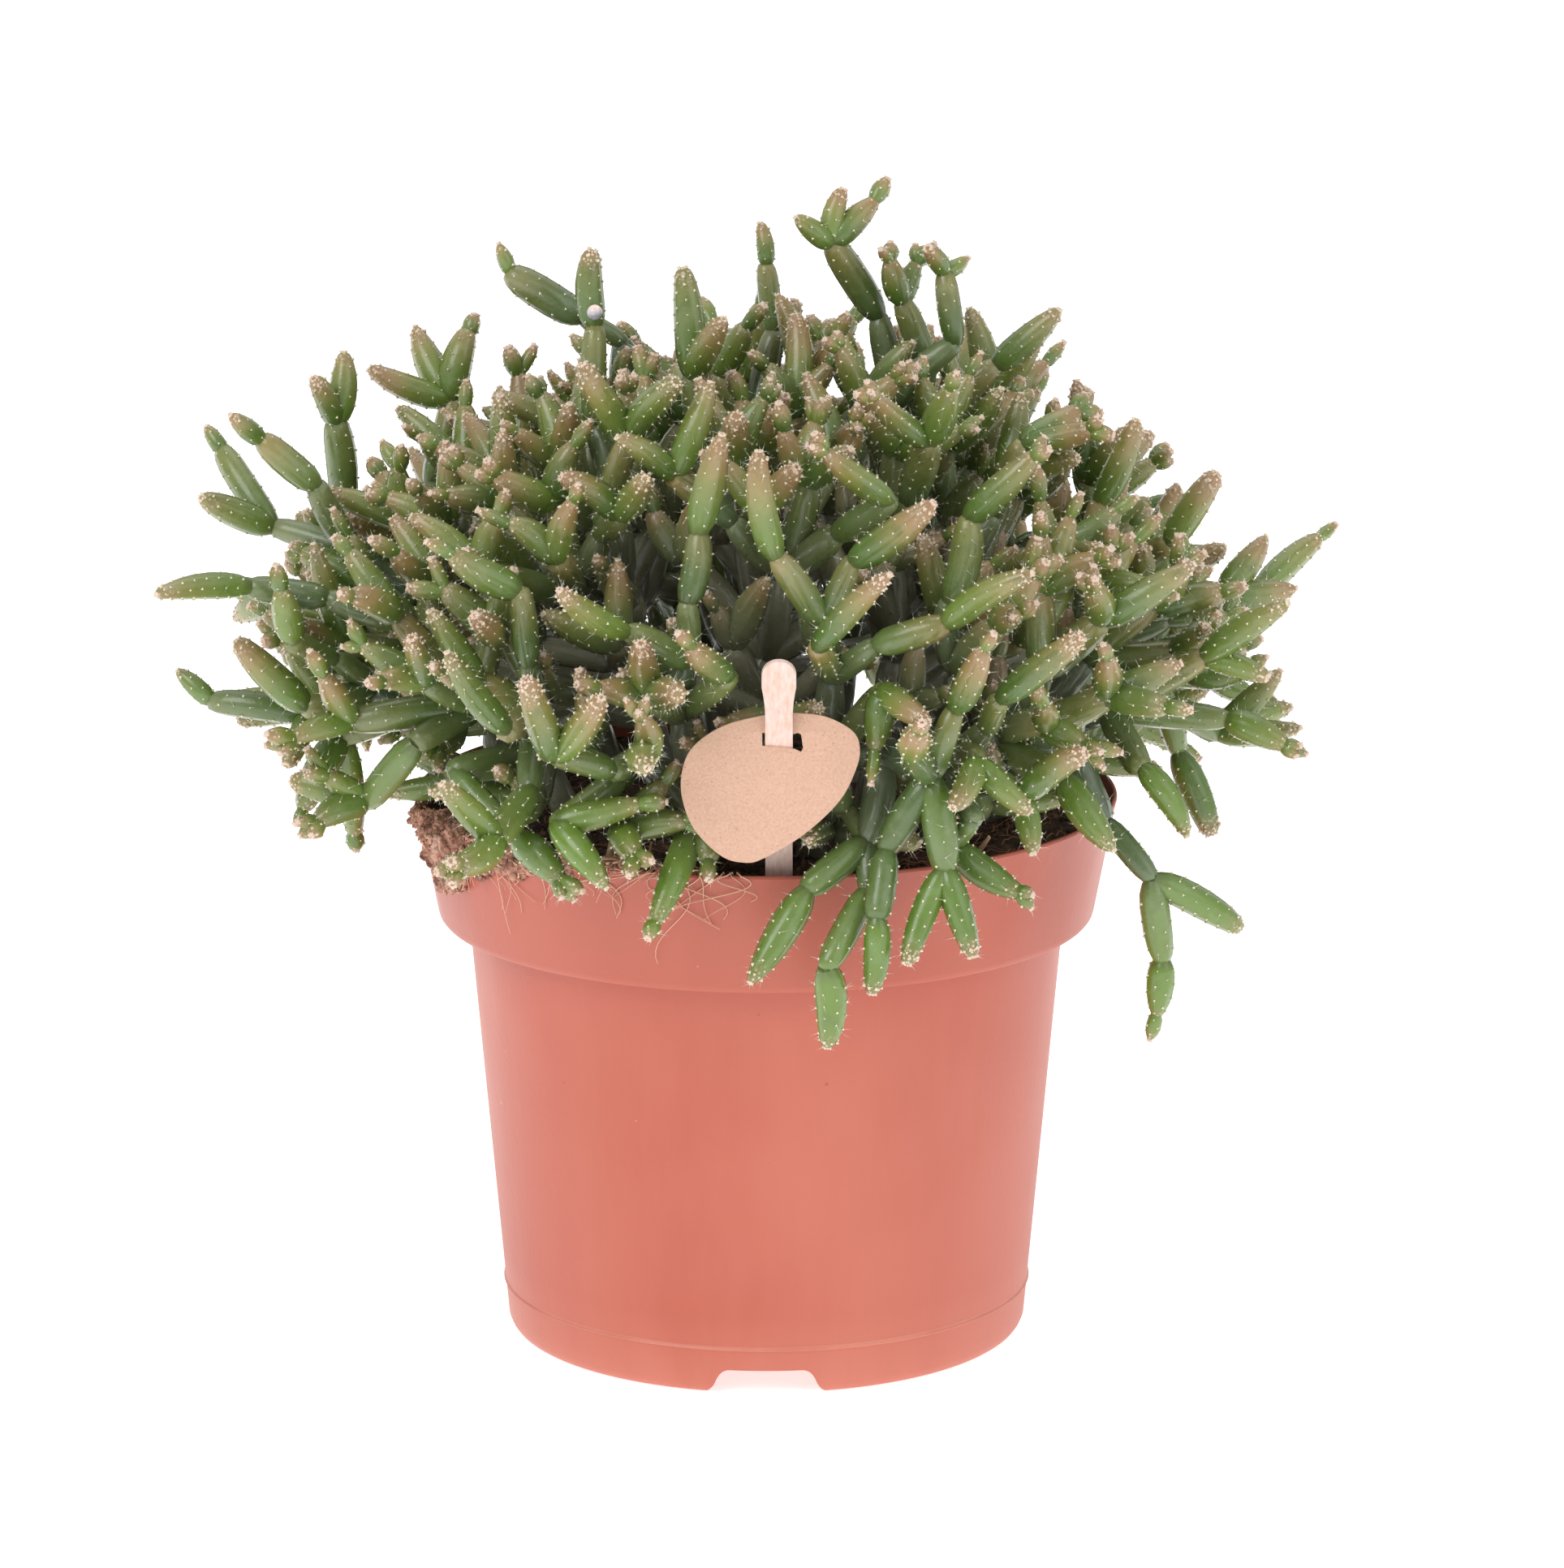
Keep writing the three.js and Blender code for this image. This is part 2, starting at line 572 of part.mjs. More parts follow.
// A link is tried at points along it, and pushed by no more than this at a time.
const TRIES = [0, 0.25, 0.5, 0.75, 1];
const FARTHEST_PUSH = 3;

function pushed(link, fraction, away, lack) {
  if (lack > 0) moveLink(link, fraction, away.setLength(Math.min(lack, FARTHEST_PUSH)));
}

// The pot's rim and the peat within it are one stop for the stems.
function clearOfPot(link) {
  const wall = RIM_RADIUS + 0.4;
  const top = POT_HEIGHT + 0.6;
  for (const fraction of TRIES.slice(1)) {
    const p = pointAlong(link, fraction);
    const out = Math.hypot(p.x, p.y);
    const within = out < wall && p.z < top;
    const held = Math.min(out, wall) / out;
    const stop = new THREE.Vector3(p.x * held, p.y * held, Math.min(p.z, top));
    const away = within ? new THREE.Vector3(0, 0, 1e-3) : p.clone().sub(stop);
    const depth = within ? top - p.z : 0;
    pushed(link, fraction, away, link.radius + STEM_GAP + depth - away.length());
  }
}

// The peat that spills over the rim is another.
function clearOfClump(link) {
  const size = vector(CLUMP.size).addScalar(link.radius + STEM_GAP);
  for (const fraction of TRIES.slice(1)) {
    const away = pointAlong(link, fraction).sub(vector(CLUMP.centre));
    const level = away.clone().divide(size).length();
    pushed(link, fraction, away, (1 - level) * size.z);
  }
}

// The card is kept clear to 9 mm in front of it, and the pick all round.
function clearOfLabel(link) {
  const place = cardPlace();
  const middle = { x: place.x - 1.4, z: place.z - 8 };
  const back = new THREE.Vector3(0, 1, 0);
  for (const fraction of TRIES) {
    const p = pointAlong(link, fraction);
    const beside = Math.max(0, Math.abs(p.x - middle.x) - CARD.halfWidth);
    const beyond = Math.max(0, Math.abs(p.z - middle.z) - CARD.halfHeight);
    const behind = p.y - place.y - (p.z - place.z) * Math.tan(radians(CARD.tilt));
    const wanted = link.radius + 1;
    if (Math.hypot(beside, beyond) <= wanted && behind >= -9) pushed(link, fraction, back, wanted - behind);
  }
  for (const fraction of TRIES) {
    const p = pointAlong(link, fraction);
    if (p.z > PICK.foot[2] + PICK.length) continue;
    const away = new THREE.Vector3(p.x - PICK.foot[0], p.y - PICK.foot[1] + pickForward(p.z), 0);
    pushed(link, fraction, away, link.radius + PICK.headWidth / 2 + 0.6 - away.length());
  }
}

function holdLength(link) {
  const along = joints[link.b].at.clone().sub(joints[link.a].at);
  const stretch = (along.length() - link.length) * 0.2;
  moveLink(link, 0, along.setLength(stretch));
  moveLink(link, 1, along.negate());
}

function settle() {
  for (let round = 0; round < SETTLING_ROUNDS; round++) {
    for (let i = 0; i < links.length; i++) {
      const p = links[i];
      const middle = pointAlong(p, 0.5);
      for (const q of links.slice(i + 1)) {
        const reach = (p.length + q.length) / 2 + 8;
        if (middle.distanceTo(pointAlong(q, 0.5)) < reach) parted(p, q);
      }
    }
    for (const link of links) {
      if (!link.basal) {
        clearOfPot(link);
        clearOfClump(link);
        clearOfLabel(link);
      }
      holdLength(link);
    }
  }
}

// ---- The cactus: solids ----

// One run of links from a fork to a tip is a closed tube that swells between its joints. A run that starts at
// another's joint starts in a point there, and every run ends blunt.
function runGeometry(run) {
  const rings = [];
  run.forEach((link, i) => {
    const a = joints[link.a].at;
    const b = joints[link.b].at;
    const along = b.clone().sub(a).normalize();
    const before = i > 0 ? joints[run[i - 1].a].at : null;
    const bend = before ? along.clone().add(a.clone().sub(before).normalize()).normalize() : along;
    const start = i === 0 && !link.basal ? 1 : 0;
    SWELL.slice(start).forEach(([fraction, swell]) => {
      const radius = link.radius * STEM_SECTION * swell;
      rings.push({ centre: a.clone().lerp(b, fraction), radius, facing: fraction === 0 ? bend : along });
    });
  });
  const first = run[0];
  const last = run[run.length - 1];
  const ends = [joints[first.a].at, joints[last.b].at];

  const rows = rings.length - 1;
  const tube = new THREE.CylinderGeometry(1, 1, rows, STEM_SIDES, rows);
  const position = tube.attributes.position;
  const side = new THREE.Vector3(0.3, 0.9, 0.1);
  const frames = rings.map((ring) => {
    const across = side.clone().addScaledVector(ring.facing, -side.dot(ring.facing)).normalize();
    side.copy(across);
    return { across, up: ring.facing.clone().cross(across) };
  });
  for (let i = 0; i < position.count; i++) {
    const row = Math.round(rows / 2 - position.getY(i));
    const { centre, radius } = rings[row];
    const { across, up } = frames[row];
    const onAxis = Math.hypot(position.getX(i), position.getZ(i)) < 0.5;
    const place = onAxis ? ends[row === 0 ? 0 : 1].clone() : centre.clone();
    if (!onAxis) {
      place.addScaledVector(across, radius * position.getX(i));
      place.addScaledVector(up, radius * position.getZ(i));
    }
    position.setXYZ(i, place.x, place.y, place.z);
  }
  return tube;
}

// Each joint passes its run on to the stem that goes on straightest. Its other stems start runs of their own.
function runsOf(cutting) {
  const own = links.filter((link) => link.cutting === cutting && link.main);
  const direction = (link) => joints[link.b].at.clone().sub(joints[link.a].at).normalize();
  const runs = [];
  const follow = (run) => {
    const last = run[run.length - 1];
    const next = own.filter((link) => link.a === last.b);
    next.sort((p, q) => direction(q).dot(direction(last)) - direction(p).dot(direction(last)));
    if (next.length > 0) {
      run.push(next[0]);
      follow(run);
      next.slice(1).forEach((link) => follow([link]));
    } else {
      runs.push(run);
    }
  };
  follow([own.find((link) => link.basal)]);
  return runs;
}

// One ripe fruit sits in the angle of a joint.
function makeBerry(joint) {
  const centre = joints[joint].at.clone().add(vector(BERRY.offset));
  return toSolid(new THREE.IcosahedronGeometry(BERRY.radius, 0).translate(...centre.toArray()));
}

function makeCutting(cutting, berryJoint) {
  const solids = runsOf(cutting).map((run) => toSolid(runGeometry(run)));
  const bearsBerry = links.some((link) => link.cutting === cutting && link.b === berryJoint);
  if (bearsBerry) solids.push(makeBerry(berryJoint));
  const spray = solids.reduce((whole, solid) => whole.add(solid));
  const material = new THREE.MeshStandardMaterial({ color: STEM_COLOUR, roughness: 0.4, metalness: 0 });
  return named(`cutting_${String(cutting + 1).padStart(2, '0')}`, spray, material);
}

// ---- Peat ----

const SOIL_SIDES = 18;

function makeSoil() {
  const ledge = POT_HEIGHT - BAND_HEIGHT + WALL;
  const bodyInside = (height) => bodyRadius(height) - WALL - SOIL_GAP;
  const bandInside = (height) => bandRadius(height) - WALL - SOIL_GAP;
  const floor = FOOT_DEPTH + WALL + FIT_GAP;
  const profile = [
    [0, floor],
    [bodyInside(floor), floor],
    [bodyInside(ledge - WALL), ledge - WALL],
    [bodyInside(ledge - WALL), ledge + FIT_GAP],
    [bandInside(ledge + FIT_GAP), ledge + FIT_GAP],
    [bandInside(SOIL_EDGE_HEIGHT), SOIL_EDGE_HEIGHT],
    [46, SOIL_EDGE_HEIGHT],
    [25, SOIL_EDGE_HEIGHT],
    [0, SOIL_EDGE_HEIGHT],
  ];
  const plug = turned(profile, SOIL_SIDES);
  const position = plug.attributes.position;
  for (let i = 0; i < position.count; i++) {
    const x = position.getX(i);
    const y = position.getY(i);
    const onTop = position.getZ(i) > SOIL_EDGE_HEIGHT - 0.01 && Math.hypot(x, y) < 50;
    if (onTop) position.setZ(i, soilHeight(x, y));
  }

  const clump = new THREE.IcosahedronGeometry(1, 1).scale(...CLUMP.size).translate(...CLUMP.centre);
  const rimSpace = turned(
    [
      [bandRadius(70) - WALL - FIT_GAP, 70],
      [bandRadius(70) + FIT_GAP, 70],
      [RIM_RADIUS + FIT_GAP, POT_HEIGHT],
      [RIM_RADIUS - 0.5, POT_HEIGHT + FIT_GAP],
      [RIM_RADIUS - WALL - FIT_GAP, POT_HEIGHT + FIT_GAP],
      [bandRadius(70) - WALL - FIT_GAP, 70],
    ],
    POT_SIDES,
  );
  let soil = toSolid(plug).add(toSolid(clump).subtract(toSolid(rimSpace)));

  for (const link of links.filter((each) => each.basal)) {
    const foot = joints[link.a].at;
    const along = joints[link.b].at.clone().sub(foot).normalize();
    const depth = (ROOT_DEPTH + 6) / along.z;
    const bore = new THREE.CylinderGeometry(link.radius + ROOT_GAP, link.radius + ROOT_GAP, depth, 8);
    bore.translate(0, depth / 2 - FIT_GAP, 0);
    bore.applyQuaternion(new THREE.Quaternion().setFromUnitVectors(new THREE.Vector3(0, 1, 0), along));
    bore.translate(foot.x, foot.y, foot.z);
    soil = soil.subtract(toSolid(bore));
  }
  soil = soil.subtract(toSolid(pickGeometry(FIT_GAP)));
  const material = new THREE.MeshStandardMaterial({ color: PEAT_COLOUR, roughness: 1, metalness: 0 });
  return named('soil', soil, material);
}

// ---- Assembly ----

const heads = growCuttings();
settle();

const group = new THREE.Group();
group.add(makePot(), makeSoil(), ...makeLabel());
const cuttings = 1 + Math.max(...links.map((link) => link.cutting));
const berryJoint = heads[BERRY.shoot].joint;
for (let cutting = 0; cutting < cuttings; cutting++) group.add(makeCutting(cutting, berryJoint));
export default group;
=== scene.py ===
"""A mistletoe cactus in a plastic nursery pot, with a card label on a wooden pick, dressed over its solids.

Blender works in metres. The sizes below and the rule by which the plant grows are in millimetres, as the
solids are. The origin is the middle of the pot's foot, +Z is up and -Y is the front.
"""

import math
import random
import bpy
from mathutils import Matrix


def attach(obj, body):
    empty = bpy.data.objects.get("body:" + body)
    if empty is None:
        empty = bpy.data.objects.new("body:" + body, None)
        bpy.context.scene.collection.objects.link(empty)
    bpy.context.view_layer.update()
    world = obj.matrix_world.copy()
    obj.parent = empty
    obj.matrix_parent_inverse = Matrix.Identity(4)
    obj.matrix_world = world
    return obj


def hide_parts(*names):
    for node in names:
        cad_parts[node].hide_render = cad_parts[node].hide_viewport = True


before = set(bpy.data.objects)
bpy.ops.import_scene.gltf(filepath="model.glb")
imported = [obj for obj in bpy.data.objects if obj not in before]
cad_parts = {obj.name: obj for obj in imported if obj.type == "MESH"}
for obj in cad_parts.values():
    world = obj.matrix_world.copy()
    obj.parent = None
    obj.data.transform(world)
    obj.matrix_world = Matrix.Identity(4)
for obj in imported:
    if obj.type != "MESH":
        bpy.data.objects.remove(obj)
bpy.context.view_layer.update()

from types import SimpleNamespace

import bmesh
import bpy
import numpy as np
from mathutils import Matrix, Vector, noise

# ---- Camera ----
# A long lens looks down on the plant a little from straight in front, so that the rim shows as a flat ellipse
# and the foot as a rounder one.

MM = 0.001
CAMERA_PLACE, CAMERA_DIP = (2.7, -1250, 399), 13.67
FILM_HEIGHT, LENS = 36, 172.8

camera = bpy.data.objects.new("camera", bpy.data.cameras.new("camera"))
bpy.context.scene.collection.objects.link(camera)
bpy.context.scene.camera = camera
camera.location = [c * MM for c in CAMERA_PLACE]
camera.rotation_euler = (math.radians(90 - CAMERA_DIP), 0, 0)
camera.data.sensor_fit, camera.data.sensor_height, camera.data.lens = "VERTICAL", FILM_HEIGHT, LENS
camera.data.clip_start = 50 * MM

# ---- Pot ----
# A thin pot, moulded in one piece of terracotta-coloured polypropylene: a tapered body under a wide band,
# with a mould line and three notches at its foot and seven holes in its floor. Handling has dusted it.

POT_HEIGHT, RIM_RADIUS = 94, 60
BAND_HEIGHT, BAND_FOOT_RADIUS = 21, 56
BODY_TOP_RADIUS, BODY_FOOT_RADIUS = 51, 44.5
WALL, FOOT_DEPTH = 0.9, 4.8
FOOT_RING = [(42.6, FOOT_DEPTH), (42.9, 3.8), (42.4, 1.5), (42.2, 0.4), (42.4, 0.05), (42.8, 0), (43.4, 0.12),
             (43.9, 0.45), (44.3, 1)]
NOTCHES, NOTCH_BOTTOM, NOTCH_TOP, NOTCH_HEIGHT, NOTCH_CORNER = 3, 24, 15.4, 4.4, 1.6
NOTCH_FROM, NOTCH_TO = -38, -47
HOLES_ROUND, HOLE_RING, HOLE_RADIUS, HOLE_STEPS = 6, 27, 4, 32
MOULD_LINE, MOULD_RELIEF, MOULD_HALF = 8.1, 0.3, 0.35
POT_STEPS = 180


def body_radius(height):
    return BODY_FOOT_RADIUS + (BODY_TOP_RADIUS - BODY_FOOT_RADIUS) / (POT_HEIGHT - BAND_HEIGHT) * height


def band_radius(height):
    above = height - POT_HEIGHT + BAND_HEIGHT
    return BAND_FOOT_RADIUS + (RIM_RADIUS - BAND_FOOT_RADIUS) / BAND_HEIGHT * above


def turns(count):
    """So many even turns round a circle."""
    return [2 * math.pi * i / count for i in range(count)]


def at_turn(out, turn):
    """The spot that lies so far out from the middle, at a turn about it."""
    return (out * math.cos(turn), out * math.sin(turn))


def node(tree, kind, inputs=None, **settings):
    """Adds a node to a tree; an input is a value or another node's output."""
    made = tree.nodes.new(kind)
    for name, value in settings.items():
        setattr(made, name, value)
    for socket, value in (inputs or {}).items():
        if isinstance(value, bpy.types.NodeSocket):
            tree.links.new(value, made.inputs[socket])
        else:
            made.inputs[socket].default_value = value
    return made


def new_material(name, roughness, specular=0.5):
    material = bpy.data.materials.new(name)
    material.use_nodes = True
    shader = material.node_tree.nodes["Principled BSDF"]
    shader.inputs["Roughness"].default_value = roughness
    shader.inputs["Specular IOR Level"].default_value = specular
    return material, material.node_tree, shader


def place_on(tree, scale=(1, 1, 1), rotation=(0, 0, 0)):
    """Object coordinates in metres, stretched and turned."""
    place = node(tree, "ShaderNodeTexCoord").outputs["Object"]
    return node(tree, "ShaderNodeMapping", {"Vector": place, "Scale": scale, "Rotation": rotation}).outputs[0]


def height_on(tree):
    return node(tree, "ShaderNodeSeparateXYZ", {0: place_on(tree)}).outputs["Z"]


def grain(tree, scale, detail=3.0, roughness=0.5, place=None):
    """Noise of about so many grains a metre."""
    inputs = {"Scale": scale, "Detail": detail, "Roughness": roughness}
    inputs["Vector"] = place_on(tree) if place is None else place
    return node(tree, "ShaderNodeTexNoise", inputs).outputs[0]


def specks(tree, scale, place=None):
    """How far each spot is from the middle of the speck that it belongs to."""
    inputs = {"Scale": scale, "Detail": 0, "Vector": place_on(tree) if place is None else place}
    return node(tree, "ShaderNodeTexVoronoi", inputs).outputs[0]


def ranged(tree, value, low, high, to_low=0.0, to_high=1.0):
    inputs = {0: value, 1: low, 2: high, 3: to_low, 4: to_high}
    return node(tree, "ShaderNodeMapRange", inputs).outputs[0]


def maths(tree, operation, first, second):
    return node(tree, "ShaderNodeMath", {0: first, 1: second}, operation=operation).outputs[0]


def product(tree, first, second):
    return maths(tree, "MULTIPLY", first, second)


def total(tree, first, second):
    return maths(tree, "ADD", first, second)


def linear(colour):
    """An everyday 0 to 255 colour in the linear numbers that the shader takes; an output stays as it is."""
    if isinstance(colour, bpy.types.NodeSocket):
        return colour
    return (*(c / 255 / 12.92 if c <= 10 else ((c / 255 + 0.055) / 1.055) ** 2.4 for c in colour), 1)


def mixed(tree, share, first, second):
    """The first colour with a share of the second over it."""
    inputs = {0: share, 6: linear(first), 7: linear(second)}
    return node(tree, "ShaderNodeMix", inputs, data_type="RGBA").outputs[2]


def layered(tree, shader, base, *layers):
    """Lays each colour by its share over what lies below, and gives the result to the shader."""
    for share, colour in layers:
        base = mixed(tree, share, base, colour)
    tree.links.new(base, shader.inputs["Base Color"])


def bumped(tree, shader, height, strength, distance):
    inputs = {"Height": height, "Strength": strength, "Distance": distance}
    tree.links.new(node(tree, "ShaderNodeBump", inputs).outputs[0], shader.inputs["Normal"])


def to_object(name, mesh, material=None, smooth=None):
    """Links a mesh, placed by its points, or other data. Edges past the smooth angle stay sharp."""
    if smooth is not None:
        mesh.shade_smooth()
        mesh.set_sharp_from_angle(angle=math.radians(smooth))
    if material is not None:
        mesh.materials.append(material)
    made = bpy.data.objects.new(name, mesh)
    bpy.context.scene.collection.objects.link(made)
    return made


def from_points(name, points, faces, edges=()):
    mesh = bpy.data.meshes.new(name)
    mesh.from_pydata([tuple(c * MM for c in point) for point in points], edges, faces)
    mesh.update()
    return mesh


def turned(name, profile, steps, height_at=None):
    """A solid of revolution; height_at gives a point's height where the profile's own isn't the last word."""
    points, rings, faces = [], [], []
    for radius, height in profile:
        count = steps if radius > 0 else 1
        rings.append([len(points) + i % count for i in range(steps)])
        for x, y in (at_turn(radius, turn) for turn in turns(count)):
            points.append((x, y, height_at(x, y, height) if height_at else height))
    for low, high in zip(rings, rings[1:]):
        for i in range(steps):
            j = (i + 1) % steps
            faces.append(tuple(dict.fromkeys((low[i], low[j], high[j], high[i]))))
    return from_points(name, points, faces)


def prism(near, far):
    """Points and faces of a closed prism between two like outlines."""
    count = len(near)
    faces = [tuple(range(count)), tuple(range(2 * count - 1, count - 1, -1))]
    faces += [(i, i + count, (i + 1) % count + count, (i + 1) % count) for i in range(count)]
    return [*near, *far], faces


def joined(shapes):
    points, faces = [], []
    for more_points, more_faces in shapes:
        faces += [tuple(i + len(points) for i in face) for face in more_faces]
        points += more_points
    return points, faces


def written(shape, mesh):
    """Writes a bmesh into a mesh and frees it."""
    shape.to_mesh(mesh)
    shape.free()
    return mesh


def faced_out(mesh):
    """Merges doubles and turns every face outwards."""
    shape = bmesh.new()
    shape.from_mesh(mesh)
    bmesh.ops.remove_doubles(shape, verts=shape.verts, dist=1e-6)
    bmesh.ops.recalc_face_normals(shape, faces=shape.faces)
    return written(shape, mesh)


def finished(source, name):
    """What an object's modifiers or curve make, as a plain mesh; the object itself goes."""
    bpy.context.view_layer.update()
    mesh = bpy.data.meshes.new_from_object(source.evaluated_get(bpy.context.evaluated_depsgraph_get()))
    mesh.name = name
    bpy.data.objects.remove(source)
    return mesh


def cut(mesh, cutter_mesh):
    """The mesh less the cutter."""
    block, cutter = to_object("block", mesh), to_object("cutter", cutter_mesh)
    modifier = block.modifiers.new("cut", "BOOLEAN")
    modifier.operation, modifier.solver, modifier.object = "DIFFERENCE", "EXACT", cutter
    result = finished(block, mesh.name)
    bpy.data.objects.remove(cutter)
    return result


def piece(made, slot, *replaced):
    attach(made, "root")
    if replaced:
        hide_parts(*replaced)


def bend(start, over, end, steps=8):
    """Points of a quadratic curve from start to end, without its start."""
    shares = [(i + 1) / steps for i in range(steps)]
    return [tuple((1 - t) ** 2 * a + 2 * t * (1 - t) * b + t * t * c for a, b, c in zip(start, over, end))
            for t in shares]


band_foot, floor_top = POT_HEIGHT - BAND_HEIGHT, FOOT_DEPTH + WALL
pot_profile = [(0, FOOT_DEPTH), *FOOT_RING, (body_radius(1.9), 1.9), (body_radius(4), 4)]
for up, relief in ((-MOULD_HALF, 0), (-0.16, 0.6), (0, 1), (0.16, 0.6), (MOULD_HALF, 0)):
    pot_profile.append((body_radius(MOULD_LINE + up) + MOULD_RELIEF * relief, MOULD_LINE + up))
pot_profile += [(body_radius(h), h) for h in (10, 20, 35, 50, 64, band_foot - 1.2, band_foot - 0.5)]
pot_profile += [(body_radius(band_foot) + 0.4, band_foot - 0.1), (band_radius(band_foot) - 1.1, band_foot)]
pot_profile += [(band_radius(band_foot) + out, band_foot + up) for out, up in ((-0.35, 0.12), (0.05, 0.6))]
pot_profile += [(band_radius(h), h) for h in (band_foot + 1.3, 79, 86, POT_HEIGHT - 1.2)]
for inwards, down in ((0.02, 0.5), (0.15, 0.15), (0.42, 0), (0.7, 0.1), (WALL, 0.5)):
    pot_profile.append((RIM_RADIUS - inwards, POT_HEIGHT - down))
pot_profile += [(band_radius(h) - WALL, h) for h in (80, band_foot + 1.6)]
pot_profile += [(band_radius(band_foot) - WALL - 0.6, band_foot + WALL)]
pot_profile += [(body_radius(band_foot), band_foot + WALL)]
pot_profile += [(body_radius(h) - WALL, h) for h in (band_foot - WALL, 40)]
floor_edge = body_radius(floor_top) - WALL
pot_profile += [(floor_edge, floor_top + 0.6), (floor_edge - 0.8, floor_top), (0, floor_top)]

half, top = NOTCH_BOTTOM / 2, NOTCH_TOP / 2
flank = (top + NOTCH_CORNER / 2, NOTCH_HEIGHT / 2)
right = [(half, -1), *bend((half, -1), (top + NOTCH_CORNER, 0), flank)]
right += bend(flank, (top, NOTCH_HEIGHT), (top - NOTCH_CORNER, NOTCH_HEIGHT))
notch = right + [(-x, z) for x, z in reversed(right)]
cutters = []
for c, s in (at_turn(1, turn) for turn in turns(NOTCHES)):
    near, far = ([(x * c - y * s, x * s + y * c, z) for x, z in notch] for y in (NOTCH_FROM, NOTCH_TO))
    cutters.append(prism(near, far))
hole = [at_turn(HOLE_RADIUS, turn) for turn in turns(HOLE_STEPS)]
for cx, cy in [*(at_turn(HOLE_RING, turn) for turn in turns(HOLES_ROUND)), (0, 0)]:
    near, far = ([(cx + x, cy + y, z) for x, y in hole] for z in (FOOT_DEPTH - 1, floor_top + 1))
    cutters.append(prism(near, far))
cutter_mesh = faced_out(from_points("cutters", *joined(cutters)))
pot_mesh = cut(faced_out(turned("pot_shell", pot_profile, POT_STEPS)), cutter_mesh)

terracotta, tree, shader = new_material("terracotta_polypropylene", 0.42)
clouds = ranged(tree, grain(tree, 22, 2), 0.35, 0.65)
flow = grain(tree, 60, 4, 0.6, place_on(tree, (1, 1, 0.22)))
patches = ranged(tree, grain(tree, 34, 2, place=place_on(tree, rotation=(0.2, 0.5, 0.1))), 0.6, 0.7, 0, 0.55)
pale_specks = product(tree, ranged(tree, specks(tree, 240), 0.04, 0.09, 1, 0), patches)
dark_specks = specks(tree, 60, place_on(tree, rotation=(0.7, 0.3, 0.2)))
height = height_on(tree)
# Painted light: the lowest 14 mm are painted paler towards the floor, streaked by the flow, in place of light
# bounced up from the floor.
painted_foot_light = product(tree, ranged(tree, height, 0.014, 0.0, 0, 0.5), ranged(tree, flow, 0.3, 0.6, 0.6, 1))
line_low, line_high, line_blur = MOULD_LINE * MM, (MOULD_LINE + MOULD_HALF) * MM, 0.3 * MM
# Painted highlight: the upper slope of the mould line is painted paler, as if lit from above.
painted_line_highlight = product(tree, ranged(tree, height, line_low - line_blur, line_low, 0, 0.5),
                    ranged(tree, height, line_high, line_high + line_blur, 1, 0))
dust = product(tree, ranged(tree, height, 0.084, 0.094, 0, 0.4),
               ranged(tree, grain(tree, 260, 5, 0.7), 0.5, 0.68))
layered(tree, shader, mixed(tree, clouds, (177, 86, 66), (184, 97, 78)),
        (ranged(tree, flow, 0.42, 0.75, 0, 0.35), (194, 112, 94)),
        (pale_specks, (222, 176, 157)),
        (ranged(tree, dark_specks, 0.012, 0.022, 0.6, 0), (130, 70, 55)),
        # Painted shade: the band, from just below its foot up to the rim, is painted darker than the body.
        (ranged(tree, height, 0.071, 0.0745, 0, 0.3), (160, 78, 61)),
        (painted_foot_light, (206, 131, 111)),
        (product(tree, painted_line_highlight, ranged(tree, flow, 0.35, 0.6, 0.5, 1)), (218, 148, 128)),
        (dust, (172, 108, 90)))
tree.links.new(ranged(tree, flow, 0.3, 0.7, 0.36, 0.5), shader.inputs["Roughness"])
bumped(tree, shader, total(tree, grain(tree, 900), grain(tree, 45, 2)), 0.12, 0.0004)
piece(to_object("pot_shell", pot_mesh, terracotta, 35), "pot_plastic", "pot")

# ---- Peat ----
# The ball of peat that fills the pot, loose and lumpy on top and threaded with coir fibres. A wad of it has
# been pushed up over the rim at the left of the front, and clings to the outside of the band.

SOIL_GAP, FIT_GAP = 0.6, 0.35
SOIL_EDGE_HEIGHT, SOIL_MOUND, SOIL_EDGE_RADIUS = 90, 3.4, 57.6
SOIL_STEPS, SOIL_RINGS = 150, 44
HEAP_TURN, HEAP_HALF_TURN, HEAP_HEIGHT = math.radians(-38), math.radians(26), 2.2
HEAP_RADIUS, HEAP_HALF_WIDTH = 52, 12
# Lumps of the wad: the turn in degrees, radius and height of each, then its half size out, round and up.
WAD = [((205, 58.6, 92.2), (4.4, 8.5, 3.6)), ((199, 58.8, 88.8), (1.9, 4.4, 3.8)),
       ((208, 58.8, 87.8), (1.8, 4.4, 4.4)), ((202, 58.6, 84.6), (1.3, 2.8, 3)),
       ((216, 59.1, 90.6), (2.4, 5, 3)), ((194, 59.4, 92.4), (2, 3.6, 2)), ((225, 59, 92), (2, 5.8, 2.7)),
       ((235, 58.8, 93.3), (1.8, 5.4, 1.9)), ((245, 58.5, 93.8), (1.6, 5.6, 1.3)),
       ((256, 58.2, 94), (1.3, 5.2, 1))]
WAD_GRID, WAD_ROUGHNESS, WAD_LUMP = 0.6, 1.1, 2.4
CRUMB_RADIUS, ANY_TURN, PEAT_SEED = 0.5, (6.28, 6.28, 6.28), 7
CRUMBS = dict(Crumbs_per_area=92000, Least=0.45, Most=1.5)
WAD_CRUMBS = dict(Crumbs_per_area=560000, Least=0.5, Most=1.9)


